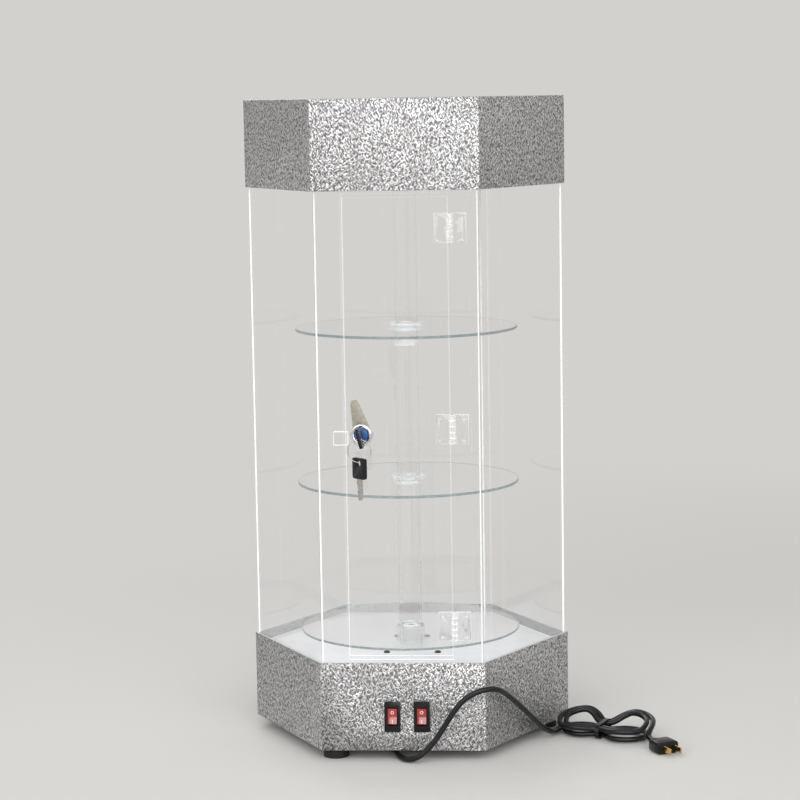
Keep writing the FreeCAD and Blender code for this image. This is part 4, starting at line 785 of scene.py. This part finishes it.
tree, given = new_tree("split_ring", Ring_Radius="Float", Wire_Radius="Float", Place="Vector",
                       Steel="Material")
pitch = add(tree, "ShaderNodeMath", {0: given["Wire Radius"], 1: RING_HEIGHT}, operation="MULTIPLY")[0]
coil = add(tree, "GeometryNodeCurveSpiral", {
    "Resolution": 64, "Rotations": RING_WINDINGS, "Start Radius": given["Ring Radius"],
    "End Radius": given["Ring Radius"], "Height": pitch})[0]
wire = add(tree, "GeometryNodeCurvePrimitiveCircle", {"Resolution": 10, "Radius": given["Wire Radius"]})[0]
ring = add(tree, "GeometryNodeCurveToMesh", {"Curve": coil, "Profile Curve": wire, "Fill Caps": True})[0]
half_back = add(tree, "ShaderNodeMath", {0: pitch, 1: -0.5}, operation="MULTIPLY")[0]
centred = add(tree, "GeometryNodeTransform", {
    "Geometry": ring, "Translation": add(tree, "ShaderNodeCombineXYZ", {2: half_back})[0]})[0]
hung = add(tree, "GeometryNodeTransform", {
    "Geometry": centred, "Translation": given["Place"], "Rotation": (math.pi / 2, RING_ENDS, 0)})[0]
hung = add(tree, "GeometryNodeSetShadeSmooth", {0: hung})[0]
hung = add(tree, "GeometryNodeRealizeInstances", {"Geometry": hung})[0]
hung = add(tree, "GeometryNodeSetMaterial", {"Geometry": hung, "Material": given["Steel"]})[0]
add(tree, "NodeGroupOutput", {"Geometry": hung})
low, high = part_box("key_ring")
ring = grown("split_key_ring", tree, [], {
    "Ring Radius": 12 * MM, "Wire Radius": 0.42 * MM, "Place": (low + high) / 2, "Steel": nickel})
stands_for(ring, "steel", "key_ring")
print("ring", len(ring.data.polygons), "faces")

# %% [markdown]
# ## Keys
# A cylinder key is a flat blank with cuts of different depth along one edge. The outline below is drawn
# once in the key's own frame, with Z along the blade, and set twice: in the lock and on the ring.

# %% Key blades
BLADE_THICKNESS, BLADE_WIDTH, BLADE_LENGTH, BLADE_HIDDEN = 2.2, 8, 22.5, 9
CUT_DEPTHS, FIRST_CUT, CUT_PITCH = (1.6, 2.7, 1.1, 2.3, 1.5), 3, 2.9
BACK_SLOPE, TIP_SLOPE, SHOULDER, BLADE_BEVEL = 2.5, 3.5, 4, 0.15 * MM
# For each key: the origin of its frame, its turn in degrees and the lower end of its head.
LOCK_PLACE, LOCK_TURN, LOCK_HEAD = Vector((-39.4, -148.25, 350.3)), 14, 12
SPARE_PLACE, SPARE_TURN, SPARE_HEAD = Vector((-39.4, -176.75, 324.7)), 42, -16.5


def blade_outline():
    """Corners of the blade as (across, along), with its head end at 0."""
    half = BLADE_WIDTH / 2
    points = [(-half, BLADE_HIDDEN), (-half, -BLADE_LENGTH + BACK_SLOPE), (-half + BACK_SLOPE, -BLADE_LENGTH),
              (half - TIP_SLOPE, -BLADE_LENGTH)]
    for i, depth in enumerate(reversed(CUT_DEPTHS)):
        middle = -BLADE_LENGTH + FIRST_CUT + CUT_PITCH * i
        points += [(half - depth, middle - 0.5), (half - depth, middle + 0.5)]
        points.append((half - 0.5, middle + CUT_PITCH / 2))
    return [*points, (half, -SHOULDER), (half, BLADE_HIDDEN)]


def key_blade(name, node, head_low, where):
    """A blade with bevelled edges, set in the place of its solid."""
    mesh = bpy.data.meshes.new(name)
    work = bmesh.new()
    corners = [work.verts.new((-BLADE_THICKNESS / 2, y, z + head_low)) for y, z in blade_outline()]
    blank = work.faces.new(corners)
    grown_out = bmesh.ops.extrude_face_region(work, geom=[blank])
    for vertex in grown_out["geom"]:
        if isinstance(vertex, bmesh.types.BMVert):
            vertex.co.x += BLADE_THICKNESS
    bmesh.ops.recalc_face_normals(work, faces=work.faces)
    work.to_mesh(mesh)
    work.free()
    mesh.transform(where @ Matrix.Scale(MM, 4))
    mesh.shade_smooth()
    mesh.materials.append(nickel)
    made = new_piece(name, mesh)
    rounding = made.modifiers.new("rounding", "BEVEL")
    rounding.width = BLADE_BEVEL
    rounding.segments = 1
    rounding.harden_normals = True
    return stands_for(settled(made), "steel", node)


in_lock = Matrix.Rotation(math.pi / 2, 4, "X") @ Matrix.Rotation(math.radians(LOCK_TURN), 4, "Z")
in_lock = Matrix.Translation(LOCK_PLACE * MM) @ in_lock
on_ring = Matrix.Translation(SPARE_PLACE * MM) @ Matrix.Rotation(math.radians(SPARE_TURN), 4, "Z")
blade = key_blade("cut_key_blade", "key_blade", LOCK_HEAD, in_lock)
key_blade("cut_spare_key_blade", "spare_key_blade", SPARE_HEAD, on_ring)
print("two blades of", len(blade.data.polygons), "faces")

# %% [markdown]
# ## Marks on the rockers
# Rocker switches carry a ring for off and a bar for on. They are pad-printed, so each is a flat shape that
# stands less than a tenth of a millimetre out of its half of the rocker and rides with it. Both are drawn
# on one upright plane and thickened, and then the bar is tilted onto the lower half.

# %% Rocker marks
ROCKER_TILT, VALLEY_Y, VALLEY_Z = 20, -0.15435, 0.049
MARK_ROOT, MARK_THICKNESS, MARK_RISE = 0.05 * MM, 0.13 * MM, 5 * MM
MARK_RADII, MARK_SIDES = (1.15 * MM, 1.75 * MM), 24
BAR_HALF, BAR_TOP, BAR_FOOT = 0.35 * MM, -3.2 * MM, -6.8 * MM


def rocker_marks(side):
    """The ring on the upper half and the bar on the lower half of one rocker."""
    node = f"rocker_{side}"
    low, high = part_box(node)
    valley = Vector(((low.x + high.x) / 2, VALLEY_Y, VALLEY_Z))
    work = bmesh.new()
    loops = []
    for radius in MARK_RADII:
        circle = [radius * plan(360 * i / MARK_SIDES) for i in range(MARK_SIDES)]
        loops.append([work.verts.new((at.x, MARK_ROOT, MARK_RISE + at.y)) for at in circle])
    for i in range(MARK_SIDES):
        j = (i + 1) % MARK_SIDES
        work.faces.new((loops[0][i], loops[1][i], loops[1][j], loops[0][j]))
    corners = ((-BAR_HALF, BAR_TOP), (BAR_HALF, BAR_TOP), (BAR_HALF, BAR_FOOT), (-BAR_HALF, BAR_FOOT))
    work.faces.new([work.verts.new((x, MARK_ROOT, z)) for x, z in corners])
    thickened = bmesh.ops.extrude_face_region(work, geom=work.faces[:])
    fronts = [item for item in thickened["geom"] if isinstance(item, bmesh.types.BMVert)]
    bmesh.ops.translate(work, verts=fronts, vec=(0, -MARK_THICKNESS, 0))
    bar = [vertex for vertex in work.verts if vertex.co.z < 0]
    tilt = Matrix.Rotation(math.radians(-ROCKER_TILT), 3, "X")
    bmesh.ops.rotate(work, verts=bar, matrix=tilt)
    bmesh.ops.recalc_face_normals(work, faces=work.faces)
    mesh = bpy.data.meshes.new(f"{node}_marks")
    work.to_mesh(mesh)
    work.free()
    mesh.transform(Matrix.Translation(valley))
    mesh.materials.append(white_ink)
    made = new_piece(f"{node}_marks", mesh)
    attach(made, node)


for side in ("left", "right"):
    rocker_marks(side)
print("ring and bar on two rockers")

# %% [markdown]
# ## The hank's tie
# A soft strap is pulled round the hank's waist, so it hugs the turns: flat below, where the hank lies on
# the floor, and round at its shoulders. Its outline is swept as a thin band.

# %% Tie
TIE_LEFT, TIE_RIGHT, TIE_LOW, TIE_HIGH, TIE_MIDDLE = -17.5, 20.8, 1.3, 15.2, 8
TIE_ROUND, TIE_WALL, TIE_WIDTH, CORNER_STEPS = 6.2, 1.1, 5, 8


def tie_outline(out):
    """Points round the waist as (across, height), a distance out from the turns."""
    points = []
    corners = ((TIE_RIGHT, TIE_HIGH), (TIE_LEFT, TIE_HIGH), (TIE_LEFT, TIE_LOW), (TIE_RIGHT, TIE_LOW))
    for quarter, (x, z) in enumerate(corners):
        inwards = Vector((math.copysign(TIE_ROUND, -x), 0, math.copysign(TIE_ROUND, TIE_MIDDLE - z)))
        centre = Vector((x, 0, z)) + inwards
        for step in range(CORNER_STEPS + 1):
            on_corner = centre + (TIE_ROUND + out) * plan(90 * (quarter + step / CORNER_STEPS)).xzy
            points.append((on_corner.x, on_corner.z))
    return points


work = bmesh.new()
loops = []
for out, along in ((0, -1), (TIE_WALL, -1), (TIE_WALL, 1), (0, 1)):
    loops.append([work.verts.new((along * TIE_WIDTH / 2, v, z)) for v, z in tie_outline(out)])
for a, b in zip(loops, loops[1:] + loops[:1]):
    for i in range(len(a)):
        j = (i + 1) % len(a)
        work.faces.new((a[i], a[j], b[j], b[i]))
bmesh.ops.recalc_face_normals(work, faces=work.faces)
mesh = bpy.data.meshes.new("hank_strap")
work.to_mesh(mesh)
work.free()
mesh.transform(Matrix.Translation(Vector((*HANK_WAIST_PLACE.xy, 0)) * MM)
               @ Matrix.Rotation(math.radians(HANK_HEADING), 4, "Z") @ Matrix.Scale(MM, 4))
mesh.shade_smooth()
mesh.set_sharp_from_angle(angle=math.radians(40))
mesh.materials.append(black_abs)
strap = stands_for(new_piece("hank_strap", mesh), "cord_black", "hank_tie")
print("strap", len(mesh.polygons), "faces")
